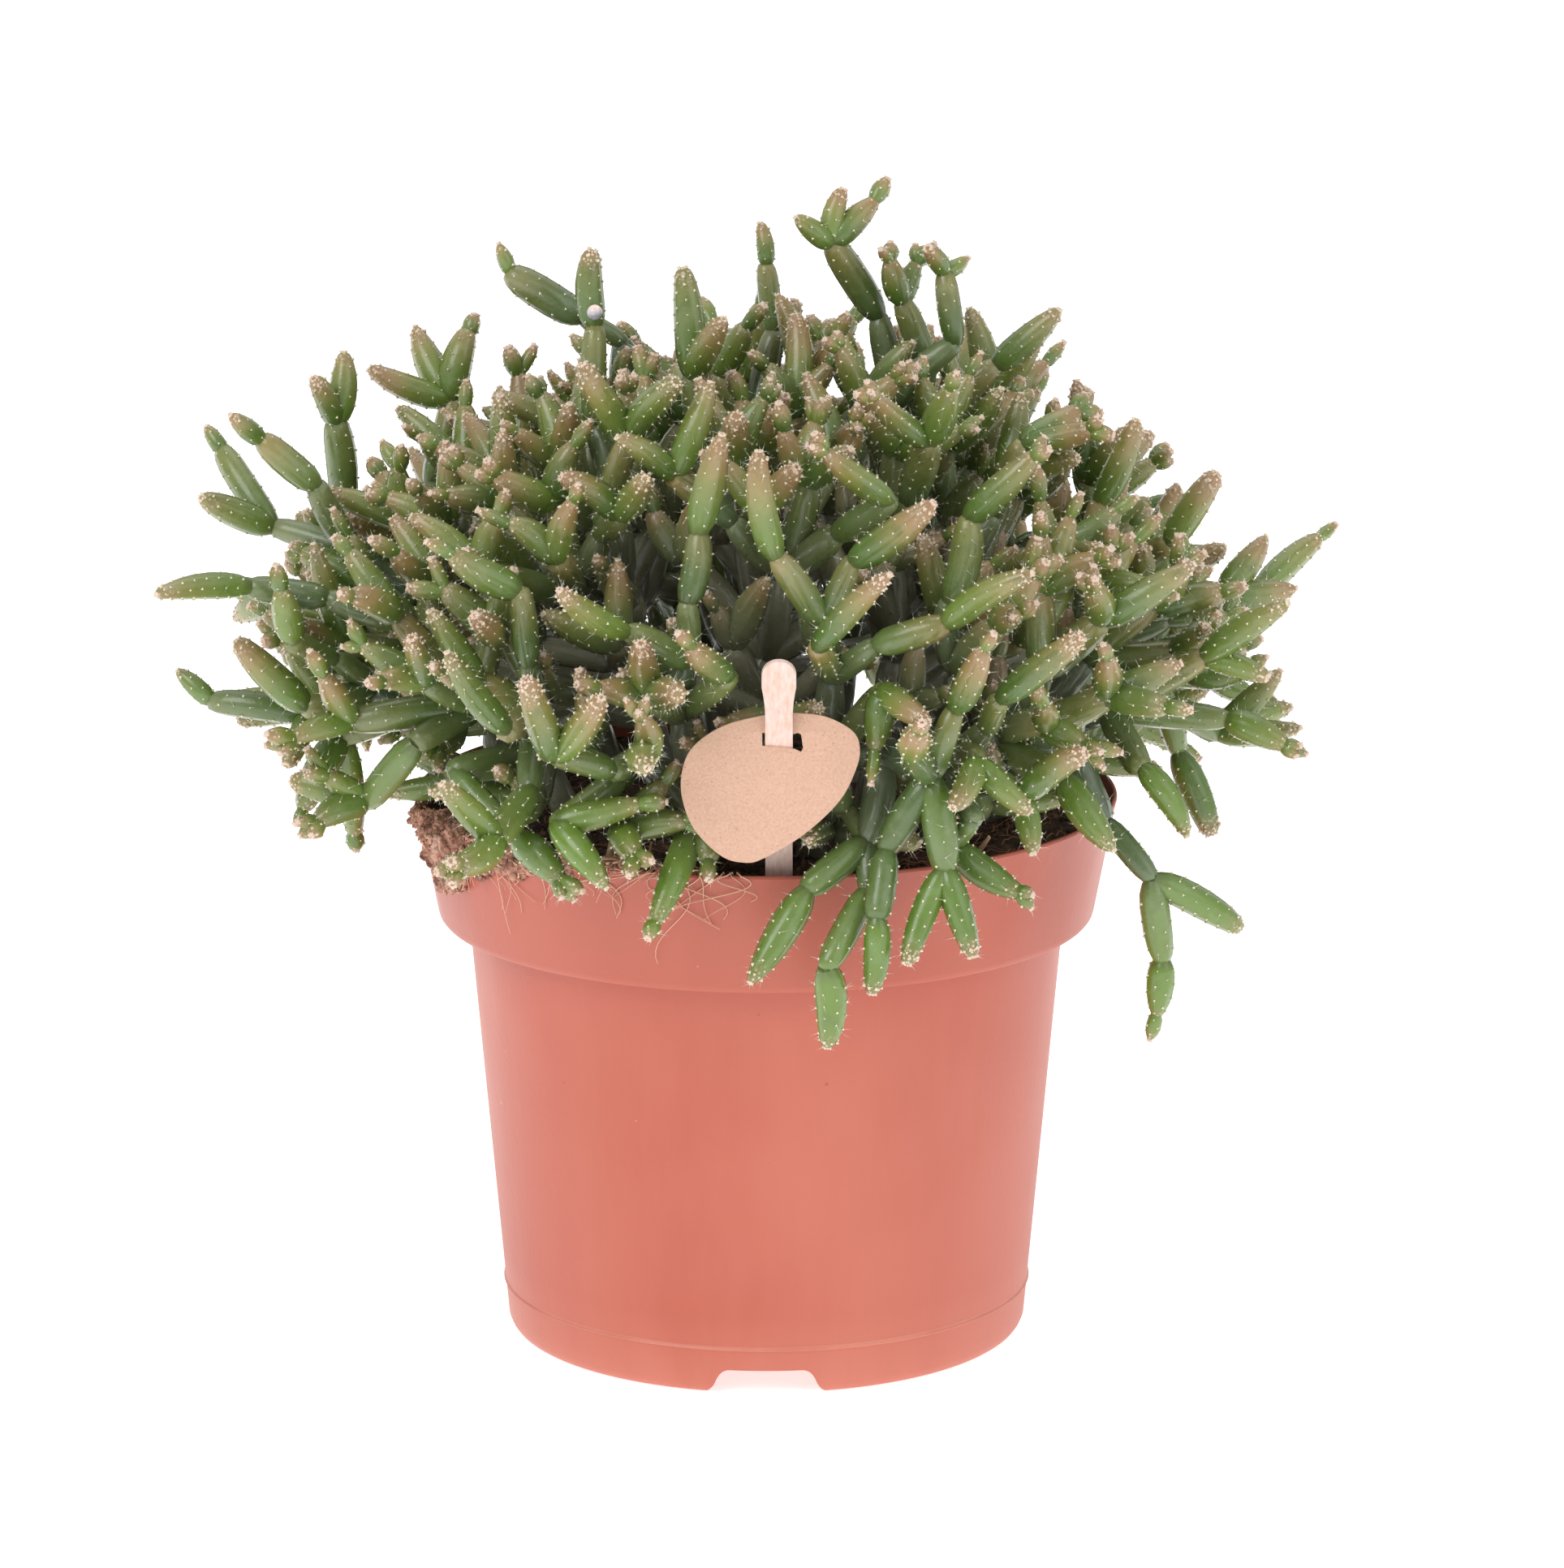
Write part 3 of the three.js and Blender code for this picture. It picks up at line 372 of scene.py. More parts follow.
def soil_height(x, y):
    out = math.hypot(x, y) / RIM_RADIUS
    turn = math.atan2(y, x)
    lumps = 0.5 * math.sin(3 * turn + 9 * out) + 0.35 * math.sin(7 * turn - 13 * out)
    return SOIL_EDGE_HEIGHT + SOIL_MOUND * (1 - out * out) + lumps * out


def lumpy_top(x, y, height):
    """Only the top is uneven, and heaped against the rim at the right of the front."""
    if height < SOIL_EDGE_HEIGHT:
        return height
    out, turn = math.hypot(x, y), math.atan2(y, x)
    inside = min(1, (SOIL_EDGE_RADIUS - out) / 4)
    heap = max(0, 1 - ((turn - HEAP_TURN) / HEAP_HALF_TURN) ** 2)
    heap *= max(0, 1 - ((out - HEAP_RADIUS) / HEAP_HALF_WIDTH) ** 2)
    lumps = 1.1 * noise.noise((x / 5, y / 5, 1)) + 0.5 * noise.noise((x / 1.8, y / 1.8, 5))
    return soil_height(x, y) + (0.4 + 0.6 * inside) * lumps + HEAP_HEIGHT * heap


def roughened(mesh, amount, size):
    """Pushes a mesh's points in and out along their normals by noise; both sizes are in millimetres."""
    for vertex, normal in [(v, v.normal.copy()) for v in mesh.vertices]:
        at = vertex.co / (size * MM)
        push = noise.noise(at) + 0.5 * noise.noise(at * 2.3)
        vertex.co += normal * push * amount * MM
    return mesh


def new_rule(name, **inputs):
    """An empty Geometry Nodes tree with named inputs for its sizes, and its input node's outputs."""
    tree = bpy.data.node_groups.new(name, "GeometryNodeTree")
    tree.interface.new_socket("Geometry", in_out="INPUT", socket_type="NodeSocketGeometry")
    for title, kind in inputs.items():
        tree.interface.new_socket(title.replace("_", " "), in_out="INPUT", socket_type="NodeSocket" + kind)
    tree.interface.new_socket("Geometry", in_out="OUTPUT", socket_type="NodeSocketGeometry")
    return tree, node(tree, "NodeGroupInput").outputs


def end_rule(tree, geometry, material):
    real = node(tree, "GeometryNodeRealizeInstances", {0: geometry}).outputs[0]
    smooth = node(tree, "GeometryNodeSetShadeSmooth", {0: real}).outputs[0]
    made = node(tree, "GeometryNodeSetMaterial", {0: smooth, "Material": material}).outputs[0]
    node(tree, "NodeGroupOutput", {0: made})


def worked(name, source_mesh, rule, **inputs):
    """The object that a rule makes from a mesh. Its inputs are set by their sockets' identifiers."""
    source = to_object(name + "_source", source_mesh)
    modifier = source.modifiers.new("rule", "NODES")
    modifier.node_group = rule
    titles = {item.name: item.identifier for item in rule.interface.items_tree if item.in_out == "INPUT"}
    for title, value in inputs.items():
        modifier[titles[title.replace("_", " ")]] = value
    return to_object(name, finished(source, name))


def drawn(tree, kind, seed, inputs):
    """A random value; its inputs and outputs are numbered by its kind."""
    made = node(tree, "FunctionNodeRandomValue", {**inputs, "Seed": seed}, data_type=kind)
    return made.outputs[{"FLOAT_VECTOR": 0, "FLOAT": 1, "BOOLEAN": 3}[kind]]


def on_points(tree, points, shape, rotation, scale, **more):
    inputs = {"Points": points, "Instance": shape, "Rotation": rotation, "Scale": scale, **more}
    return node(tree, "GeometryNodeInstanceOnPoints", inputs).outputs[0]


def peaty(name, lumps, spread, flecks, fleck_spread, colours, strength, depth):
    """Lumps of two colours, flecked with a third. Each spread is where its pattern begins and ends."""
    material, tree, shader = new_material(name, 0.95, 0.2)
    lump = grain(tree, lumps, 5, 0.65)
    dark, pale, fleck = colours
    layered(tree, shader, mixed(tree, ranged(tree, lump, *spread), dark, pale),
            (ranged(tree, grain(tree, *flecks[:2], place=place_on(tree, flecks[2])), *fleck_spread), fleck))
    bumped(tree, shader, total(tree, lump, grain(tree, 1100, 4)), strength, depth)
    return material


ledge = band_foot + WALL
deep_radius = body_radius(floor_top + FIT_GAP) - WALL - SOIL_GAP
ledge_radius = body_radius(ledge - WALL) - WALL - SOIL_GAP
over_radius, edge_radius = (band_radius(h) - WALL - SOIL_GAP for h in (ledge + FIT_GAP, SOIL_EDGE_HEIGHT))
peat_profile = [(0, floor_top + FIT_GAP), (deep_radius, floor_top + FIT_GAP), (ledge_radius, ledge - WALL)]
peat_profile += [(ledge_radius, ledge + FIT_GAP), (over_radius, ledge + FIT_GAP)]
peat_profile += [(edge_radius - 0.02, SOIL_EDGE_HEIGHT - 0.5)]
peat_profile += [(edge_radius * (1 - i / SOIL_RINGS), SOIL_EDGE_HEIGHT) for i in range(SOIL_RINGS + 1)]
peat_mesh = faced_out(turned("peat_ball", peat_profile, SOIL_STEPS, lumpy_top))

wad = bmesh.new()
for (turn, out, up), size in WAD:
    spot = Matrix.Rotation(math.radians(turn), 4, "Z") @ Matrix.Translation(Vector((out, 0, up)) * MM)
    spot = spot @ Matrix.Diagonal((*(Vector(size) * MM), 1))
    bmesh.ops.create_icosphere(wad, subdivisions=4, radius=1, matrix=spot)
wad_block = to_object("wad_block", written(wad, bpy.data.meshes.new("peat_wad")))
remesh = wad_block.modifiers.new("one_skin", "REMESH")
remesh.mode, remesh.voxel_size = "VOXEL", WAD_GRID * MM
wad_mesh = roughened(finished(wad_block, "peat_wad"), WAD_ROUGHNESS, WAD_LUMP)
rim_space = [(band_radius(70) - WALL - 0.1, 70), (band_radius(70) + 0.1, 70)]
rim_space += [(RIM_RADIUS + 0.1, POT_HEIGHT - 0.3), (RIM_RADIUS - 0.4, POT_HEIGHT + 0.1)]
rim_space += [(RIM_RADIUS - WALL - 0.1, POT_HEIGHT - 0.3)]
rim_mesh = faced_out(turned("rim_space", [*rim_space, rim_space[0]], SOIL_STEPS))
wad_mesh = faced_out(cut(wad_mesh, rim_mesh))

peat = peaty("peat", 240, (0.36, 0.62), (700, 2, (1, 0.3, 1)), (0.6, 0.72, 0, 0.8),
             ((52, 43, 38), (98, 76, 63), (152, 116, 94)), 0.8, 0.0009)
dry_peat = peaty("dry_peat", 300, (0.36, 0.6), (520, 3, (1, 1, 0.35)), (0.56, 0.7, 0, 0.9),
                 ((126, 86, 72), (200, 152, 130), (224, 186, 166)), 0.9, 0.001)

crumbs, sizes = new_rule("crumbs", Crumbs_per_area="Float", Least="Float", Most="Float", Seed="Int",
                         Finish="Material")
inputs = {"Mesh": sizes[0], "Density": sizes["Crumbs per area"], "Seed": sizes["Seed"]}
spread = node(crumbs, "GeometryNodeDistributePointsOnFaces", inputs).outputs[0]
lump = node(crumbs, "GeometryNodeMeshIcoSphere", {"Radius": CRUMB_RADIUS * MM, "Subdivisions": 1}).outputs[0]
tilt = drawn(crumbs, "FLOAT_VECTOR", 1, {1: ANY_TURN})
least, most = (node(crumbs, "ShaderNodeCombineXYZ", {i: sizes[name] for i in range(3)}).outputs[0]
               for name in ("Least", "Most"))
girth = drawn(crumbs, "FLOAT_VECTOR", 2, {0: least, 1: most})
end_rule(crumbs, on_points(crumbs, spread, lump, tilt, girth), sizes["Finish"])

top = bmesh.new()
top.from_mesh(peat_mesh)
lowest = (SOIL_EDGE_HEIGHT - 0.4) * MM
hidden = [f for f in top.faces if f.calc_center_median().z < lowest or f.normal.z < 0.2]
bmesh.ops.delete(top, geom=hidden, context="FACES")
top_mesh = written(top, bpy.data.meshes.new("peat_top"))
wad_copy = wad_mesh.copy()

piece(to_object("peat_ball", peat_mesh, peat, 60), "peat", "soil")
piece(to_object("peat_wad", wad_mesh, dry_peat, 50), "peat")
piece(worked("peat_crumbs", top_mesh, crumbs, **CRUMBS, Seed=PEAT_SEED, Finish=peat), "peat")
piece(worked("wad_crumbs", wad_copy, crumbs, **WAD_CRUMBS, Seed=PEAT_SEED, Finish=dry_peat), "peat")

# ---- The cactus: where its shoots end ----
# Nineteen cuttings have branched again and again into jointed shoots, which end in a dome of some six hundred
# tips. The shoots on its outline, over the rim and round the label are placed one by one, each as the head
# that it springs from and then its stems, each a run of joints out to the tip.

CROWN_CENTRE, CROWN_FLATNESS = (0, -2.5, 97), 0.87
CROWN, INNER = dict(reach=75, heads=195), dict(reach=51, heads=60)
HEAD_LEAN, HEAD_STEM, HEAD_ROOM, HEAD_LIFT = 34, 15.5, 12, 0.3
LOWEST_HEAD, HEAD_STRAY, THREE_STEMS_SHARE = 0.97, 9, 0.55
HANGING = SimpleNamespace(heads=15, start=20, end=160, reach=68, height=99, rise=12, dip=0.9, lean=24,
                          stem=16)
GOLDEN_ANGLE = math.pi * (3 - math.sqrt(5))
SEED = 20261
OUTLINE_SHOOTS = [
    # over the top
    [[19, 8, 174], [[11, 2, 188], [5, 0, 193]], [[11, 2, 188], [13, 4, 197]], [[11, 2, 188], [21, 8, 197]]],
    [[22, 4, 178], [[20, 0, 189]], [[27, 10, 187]]],
    [[31, -4, 172], [[30, -4, 184], [27, -8, 189]], [[30, -4, 184], [34, 0, 186]]],
    [[2, 14, 171], [[0, 16, 182], [-1, 18, 189]]],
    [[-24, 5, 170], [[-31, 4, 175], [-43, 2, 183], [-45, 2, 188]]],
    [[-28, -8, 176], [[-29, -8, 189]]],
    [[-13, -12, 168], [[-14, -10, 186]], [[-7, -20, 179]]],
    [[-8, 10, 164], [[-1, 6, 177]]],
    # the left side
    [[-73, 8, 141], [[-73, 6, 156], [-72, 8, 168]], [[-73, 6, 156], [-76, 2, 165]]],
    [[-54, 24, 157], [[-68, 22, 163]], [[-60, 30, 169]], [[-51, 28, 171]]],
    [[-75, -14, 150], [[-84, -16, 158], [-89, -20, 163]]],
    [[-84, -4, 140], [[-92, 4, 152], [-95, 6, 156]], [[-95, -10, 147]]],
    [[-83, -36, 136], [[-100, -46, 138]]],
    [[-80, -34, 128], [[-82, -36, 141]]],
    [[-84, 12, 125], [[-94, 14, 127]], [[-92, 22, 119]]],
    [[-76, -30, 116], [[-88, -30, 127]]],
    [[-77, -18, 111], [[-93, -16, 113], [-99, -14, 118]], [[-80, -28, 105]]],
    [[-67, -12, 101], [[-79, -18, 93]], [[-70, -2, 84]]],
    # over the front of the rim
    [[-51, -46, 106], [[-40, -58, 101], [-30, -66, 93]]],
    [[-32, -62, 104], [[-25, -70, 94]], [[-16, -72, 104]]],
    [[-14, -66, 101], [[-20, -72, 84]], [[-9, -75, 93]]],
    [[5, -70, 92], [[-4, -74, 77]]],
    [[11, -66, 98], [[11, -71, 83], [10, -68, 68]]],
    [[18, -66, 100], [[17, -71, 90], [17, -70, 77]]],
    [[26, -66, 98], [[23, -73, 83]], [[33, -70, 85]]],
    [[31, -60, 101], [[44, -66, 92]]],
    # the right side
    [[56, -38, 98], [[64, -42, 89], [66, -41, 75], [65, -38, 61]], [[64, -42, 89], [79, -36, 79]]],
    [[71, 14, 97], [[77, 12, 83]]],
    [[62, -34, 106], [[70, -37, 95]]],
    [[49, -48, 108], [[57, -54, 97]]],
    [[42, -57, 106], [[52, -61, 115]], [[43, -63, 98]]],
    [[77, -20, 111], [[90, -24, 106]]],
    [[77, 14, 111], [[88, 14, 104]]],
    [[73, -28, 124], [[83, -32, 121]], [[86, -38, 135]]],
    [[86, 24, 122], [[99, 36, 133]]],
    [[77, 14, 126], [[90, 16, 126]], [[86, 18, 134]]],
    [[67, 4, 138], [[77, 4, 149]]],
    [[56, -8, 145], [[62, -10, 160]]],
    [[43, -18, 157], [[57, -24, 162]], [[55, -8, 163]]],
    [[38, 4, 166], [[49, 4, 176]]],
]
FRONT_SHOOTS = [
    [[27, -33, 161], [[16, -49, 173]], [[31, -42, 174]]],
    [[33, -42, 150], [[46, -44, 163]]],
    [[20, -46, 154], [[7, -58, 166]]],
    [[14, -58, 146], [[27, -64, 157]]],
    [[-11, -55, 150], [[-7, -58, 167]]],
    [[2, -60, 147], [[-1, -62, 165]]],
    [[-22, -31, 162], [[-30, -39, 175]], [[-14, -44, 173]]],
    [[-22, -64, 135], [[-33, -74, 145]]],
    [[-40, -51, 140], [[-54, -57, 149]]],
    [[29, -60, 136], [[43, -67, 146]]],
    [[8, -68, 134], [[20, -76, 148]]],
    [[29, -67, 123], [[36, -76, 138]]],
    [[38, -62, 124], [[51, -68, 136]]],
    [[-33, -66, 116], [[-25, -80, 129]], [[-38, -78, 131]]],
    [[18, -77, 120], [[25, -90, 127]]],
    [[-42, -60, 118], [[-51, -68, 133]]],
    [[-5, -70, 126], [[-14, -80, 139]]],
    [[19, -63, 118], [[29, -69, 121]], [[24, -74, 108]]],
    [[31, -62, 111], [[42, -66, 107]], [[29, -75, 109]]],
    [[46, -50, 117], [[57, -55, 112]], [[45, -60, 125]]],
]

last_draw = SEED


def draw():
    """The next number from 0 to 1 of a sequence that is the same every time."""
    global last_draw
    last_draw = (last_draw * 16807) % 2147483647
    return last_draw / 2147483647


def stray(width):
    return (draw() - 0.5) * width


def plus(p, q, share=1.0):
    return (p[0] + q[0] * share, p[1] + q[1] * share, p[2] + q[2] * share)


def minus(p, q):
    return (p[0] - q[0], p[1] - q[1], p[2] - q[2])


def times(p, share):
    return (p[0] * share, p[1] * share, p[2] * share)


def dot(p, q):
    return p[0] * q[0] + p[1] * q[1] + p[2] * q[2]


def cross(p, q):
    return (p[1] * q[2] - p[2] * q[1], p[2] * q[0] - p[0] * q[2], p[0] * q[1] - p[1] * q[0])


def length(p):
    return math.sqrt(dot(p, p))


def unit(p):
    return times(p, 1 / (length(p) or 1))


def new_head(at, stems, by_hand=False):
    return SimpleNamespace(at=at, stems=stems, by_hand=by_hand)


def fan(at, outward, count, lean, reach):
    """Stems of one joint each that spread from a head."""
    across = unit(cross((0, 0, 1), outward))
    up = cross(outward, across)
    start = draw() * 2 * math.pi
    stems = []
    for i in range(count):
        turn = start + (i * 2 * math.pi) / count + stray(0.8)
        tilt = math.radians(lean * (0.7 + 0.6 * draw()))
        tip = times(outward, math.cos(tilt))
        tip = plus(tip, across, math.sin(tilt) * math.cos(turn))
        tip = plus(tip, up, math.sin(tilt) * math.sin(turn))
        stems.append([plus(times(tip, reach * (0.82 + 0.36 * draw())), at)])
    return stems


def spaced_heads(placed, reach, heads):
    """Heads spread evenly over a dome, wherever the placed ones leave room."""
    spaced = []
    for i in range(heads):
        height = 1 - (LOWEST_HEAD * (i + 0.5)) / heads
        turn = i * GOLDEN_ANGLE + stray(0.12)
        level = math.sqrt(1 - height * height)
        outward = (*at_turn(level, turn), height)
        swell = 2 * math.sin(2 * turn + 0.6) * level + 2 * math.sin(5 * turn + 7 * height)
        at = times(outward, reach + swell + stray(HEAD_STRAY))
        at = plus((at[0], at[1], at[2] * CROWN_FLATNESS), CROWN_CENTRE)
        lifted = unit(plus(outward, (0, 0, HEAD_LIFT)))
        stems = fan(at, lifted, 3 if draw() < THREE_STEMS_SHARE else 2, HEAD_LEAN, HEAD_STEM)
        if all(length(minus(head.at, at)) >= HEAD_ROOM for head in placed):
            spaced.append(new_head(at, stems))
    return spaced


def hanging_heads():
    """Heads round the sides and the back, whose stems hang over the rim."""
    hanging = []
    for i in range(HANGING.heads):
        sweep = HANGING.end - HANGING.start
        turn = math.radians(HANGING.start + (sweep * (i + 0.5)) / HANGING.heads) + stray(0.1)
        at = (*at_turn(HANGING.reach, turn), HANGING.height + HANGING.rise * draw())
        outward = unit((*at_turn(1, turn), -HANGING.dip))
        hanging.append(new_head(at, fan(at, outward, 2, HANGING.lean, HANGING.stem)))
    return hanging


# ---- The cactus: from the peat out to those heads ----
# Each cutting is pushed 12 mm into the peat. Its first stem stands up from there, and every stem bears the
# next ones at its end, forking wherever the heads that it has to reach lie in clearly different directions.

STEM_RADIUS_LEAST, STEM_RADIUS_PER_LENGTH, STEM_RADIUS_MOST = 1, 0.13, 2.85
STEM_THINNEST, STEM_SPREAD = 0.84, 0.22
ROOT_DEPTH, FIRST_STEM_LEAST, FIRST_STEM_SPREAD = 12, 14, 5
LINK_SHORTEST, LINK_USUAL, LINK_LONGEST, LINK_REACH, LINK_MERGE = 11, 18, 19.5, 22, 7
FORK_WIDEST, FORK_WIDER, EQUAL, SAME_PLACE = 30, 16, 1e-9, 0.01
HEADING_KEPT, STRAY_LEVEL, STRAY_UP = 0.22, 0.22, 0.16
OVER_RIM_INSIDE, OVER_RIM_BELOW, OVER_RIM_RADIUS, OVER_RIM_HEIGHT = 58, 103, 64, 106
CUTTING_RINGS, CUTTING_SPREAD = [(1, 0), (6, 20), (12, 41)], 1.85
CUTTING_LEAN_UP, CUTTING_UPRIGHT = 0.2, 0.9
# How freely a joint moves when stems make room: in the peat, at its surface, in a listed shoot, or elsewhere.
FOOT_FREE, SURFACE_FREE, HEAD_FREE, TIP_FREE, ALL_FREE = 0, 0.1, 0.35, 0.25, 1

joints, freedom, links = [], [], []


def add_joint(at, free=ALL_FREE):
    joints.append(at)
    freedom.append(free)
    return len(joints) - 1


def add_link(a, b, cutting, basal=False):
    reach = length(minus(joints[a], joints[b]))
    thick = min(STEM_RADIUS_MOST, STEM_RADIUS_LEAST + STEM_RADIUS_PER_LENGTH * reach)
    radius = thick * (STEM_THINNEST + STEM_SPREAD * draw())
    links.append(SimpleNamespace(a=a, b=b, cutting=cutting, length=reach, radius=radius, basal=basal))


def cutting_feet():
    feet = []
    for count, radius in CUTTING_RINGS:
        for i in range(count):
            turn = ((i + 0.5) * 2 * math.pi) / count + stray(0.16)
            out = radius * (0.95 + 0.08 * draw())
            feet.append((*at_turn(out, turn), 0))
    return feet


def aim(start, goal):
    """Where a stem heads for: from inside the pot, a goal low outside it is reached over the rim."""
    out, far = math.hypot(start[0], start[1]), math.hypot(goal[0], goal[1])
    if goal[2] > OVER_RIM_BELOW or out > OVER_RIM_INSIDE or far < OVER_RIM_INSIDE:
        return goal
    shrink = OVER_RIM_RADIUS / far
    return (goal[0] * shrink, goal[1] * shrink, OVER_RIM_HEIGHT)


def ways_to(start, heads):
    return [unit(minus(aim(start, head.at), start)) for head in heads]


def mean_direction(start, heads):
    mean = (0, 0, 0)
    for way in ways_to(start, heads):
        mean = plus(mean, way)
    return unit(mean)


def angle(p, q):
    theta = dot(p, q) / math.sqrt(dot(p, p) * dot(q, q))
    return math.acos(max(-1, min(1, theta)))


def farthest(ways, start):
    """The way that points farthest from another one; of equal ways the first counts."""
    found = 0
    for i, way in enumerate(ways):
        if dot(way, start) < dot(ways[found], start) - EQUAL:
            found = i
    return found


def divide(start, heads, widest):
    """Splits heads in two by direction, again and again, until each group lies within an angle."""
    mean, ways = mean_direction(start, heads), ways_to(start, heads)
    first = farthest(ways, mean)
    if angle(ways[first], mean) < math.radians(widest):
        return [heads]
    second = farthest(ways, ways[first])
    nearer = [dot(way, ways[first]) > dot(way, ways[second]) for way in ways]
    groups = [[head for head, near in zip(heads, nearer) if near == side] for side in (True, False)]
    return [part for group in groups for part in divide(start, group, widest + FORK_WIDER)]


def finish_head(joint, head, cutting):
    """Adds a head's own stems; those that begin with the same joint share it."""
    head.joint = joint
    for stem in head.stems:
        last = joint
        for point in stem:
            known = next((k for k, at in enumerate(joints) if length(minus(at, point)) < SAME_PLACE), -1)
            if known < 0:
                known = add_joint(point, TIP_FREE if head.by_hand else ALL_FREE)
                add_link(last, known, cutting)
            last = known


def grow(joint, heading, heads, cutting):
    """Adds what a joint bears, out to the given heads."""
    start = joints[joint]
    far = []
    for head in heads:
        away = length(minus(start, head.at))
        if away < LINK_MERGE:
            finish_head(joint, head, cutting)
        elif away < LINK_REACH and aim(start, head.at) is head.at:
            following = add_joint(head.at, HEAD_FREE if head.by_hand else ALL_FREE)
            add_link(joint, following, cutting)
            finish_head(following, head, cutting)
        else:
            far.append(head)
    if not far:
        return
    for group in divide(start, far, FORK_WIDEST):
        nearest = min(length(minus(start, head.at)) for head in group)
        step = max(LINK_SHORTEST, nearest / math.ceil(nearest / LINK_LONGEST))
        way = times(mean_direction(start, group), 1 - HEADING_KEPT)
        way = plus(way, heading, HEADING_KEPT)
        way = unit(plus(way, (stray(STRAY_LEVEL), stray(STRAY_LEVEL), stray(STRAY_UP))))
        following = add_joint(plus(start, way, min(step, LINK_USUAL)))
        add_link(joint, following, cutting)
        grow(following, way, group, cutting)


def grow_cuttings():
    """Every cutting grows out to the heads that are nearest to it. Returns all heads."""
    by_hand = [new_head(at, stems, True) for at, *stems in OUTLINE_SHOOTS + FRONT_SHOOTS]
    heads = by_hand + spaced_heads(by_hand, **CROWN) + spaced_heads(by_hand, **INNER) + hanging_heads()
    feet = cutting_feet()
    shares = [[] for _ in feet]
    for head in heads:
        x, y, _ = head.at
        offsets = [math.hypot(x - fx * CUTTING_SPREAD, y - fy * CUTTING_SPREAD) for fx, fy, _ in feet]
        shares[offsets.index(min(offsets))].append(head)
    for cutting, (foot, share) in enumerate(zip(feet, shares)):
        surface = (foot[0], foot[1], soil_height(foot[0], foot[1]))
        lean = mean_direction(surface, share)
        lean = unit((lean[0], lean[1], max(lean[2], CUTTING_LEAN_UP) + CUTTING_UPRIGHT))
        first = plus(surface, lean, FIRST_STEM_LEAST + FIRST_STEM_SPREAD * draw())
        foot_joint = add_joint(plus(surface, lean, -ROOT_DEPTH / lean[2]), FOOT_FREE)
        first_joint = add_joint(first, SURFACE_FREE)
        add_link(foot_joint, first_joint, cutting, basal=True)
        grow(first_joint, lean, share, cutting)
    return heads


# ---- The cactus: stems make room for each other ----
# Living stems touch but don't grow through each other, the pot, the peat or the label, so crowded ones bend
# aside. Each round pushes every pair that is too close apart by half of what it lacks, and keeps the stems'
# lengths.

PICK_FOOT, PICK_LENGTH, PICK_HEAD_WIDTH, PICK_LEAN = (2.2, -49.2, 76), 60, 5.6, math.radians(20)
CARD_SLOT_HEIGHT, CARD_TILT, CARD_HALF_WIDTH, CARD_HALF_HEIGHT = 118.3, math.radians(8), 14.4, 12.1
CARD_MIDDLE = (PICK_FOOT[0] - 1.4, CARD_SLOT_HEIGHT - 8)
CARD_GAP, CARD_REACH, PICK_GAP = 1, 9, 0.6
CLUMP_CENTRE, CLUMP_SIZE = (-54, -25, 91.5), (6.8, 11, 6.4)
KEPT_RADIUS, KEPT_HEIGHT = RIM_RADIUS + 0.4, POT_HEIGHT + 0.6
STEM_GAP, CLOSER_IF_JOINED, PUSH_MOST, STRETCH_TAKEN = 0.8, 0.85, 3, 0.2
NEARBY, PERHAPS_NEARBY, SETTLING_ROUNDS = 8, 14, 60
WHOLE_STEM = (0, 0.25, 0.5, 0.75, 1)
PAST_THE_NECK = WHOLE_STEM[1:]

slot_y = PICK_FOOT[1] - (CARD_SLOT_HEIGHT - PICK_FOOT[2]) * math.tan(PICK_LEAN)


def share_of(value):
    return max(0, min(1, value))


def point_on(link, share):
    return plus(joints[link.a], minus(joints[link.b], joints[link.a]), share)


def move(link, share, shift):
    """Moves a stem at a share of its length, by moving the joints at its ends."""
    for joint, part in ((link.a, 1 - share), (link.b, share)):
        joints[joint] = plus(joints[joint], shift, part * freedom[joint])


def push(link, share, away, lack):
    if lack > 0:
        move(link, share, times(unit(away), min(lack, PUSH_MOST)))


def part_stems(p, q):
    """Pushes two stems apart where they are nearest; stems that meet in a joint only part beyond it."""
    u, v, w = (minus(joints[b], joints[a]) for a, b in ((p.a, p.b), (q.a, q.b), (q.a, p.a)))
    uu, vv, uv, uw, vw = dot(u, u), dot(v, v), dot(u, v), dot(u, w), dot(v, w)
    spread = uu * vv - uv * uv
    s = share_of((uv * vw - vv * uw) / spread) if spread > 1e-6 * uu * vv else 0.5
    t = share_of((uv * s + vw) / vv)
    s = share_of((uv * t - uw) / uu)
    p_then_q, q_then_p = p.b == q.a, p.a == q.b
    meet = p_then_q or q_then_p or p.a == q.a
    if meet:
        s = min(s, 0.5) if p_then_q else max(s, 0.55)
        t = min(t, 0.5) if q_then_p else max(t, 0.55)
    across = minus(plus(joints[p.a], u, s), plus(joints[q.a], v, t))
    away = length(across)
    lack = (p.radius + q.radius) * (CLOSER_IF_JOINED if meet else 1) + STEM_GAP - away
    if lack > 0 and away >= 1e-6:
        shift = times(times(across, 1 / away), lack / 2)
        move(p, s, shift)
        move(q, t, times(shift, -1))


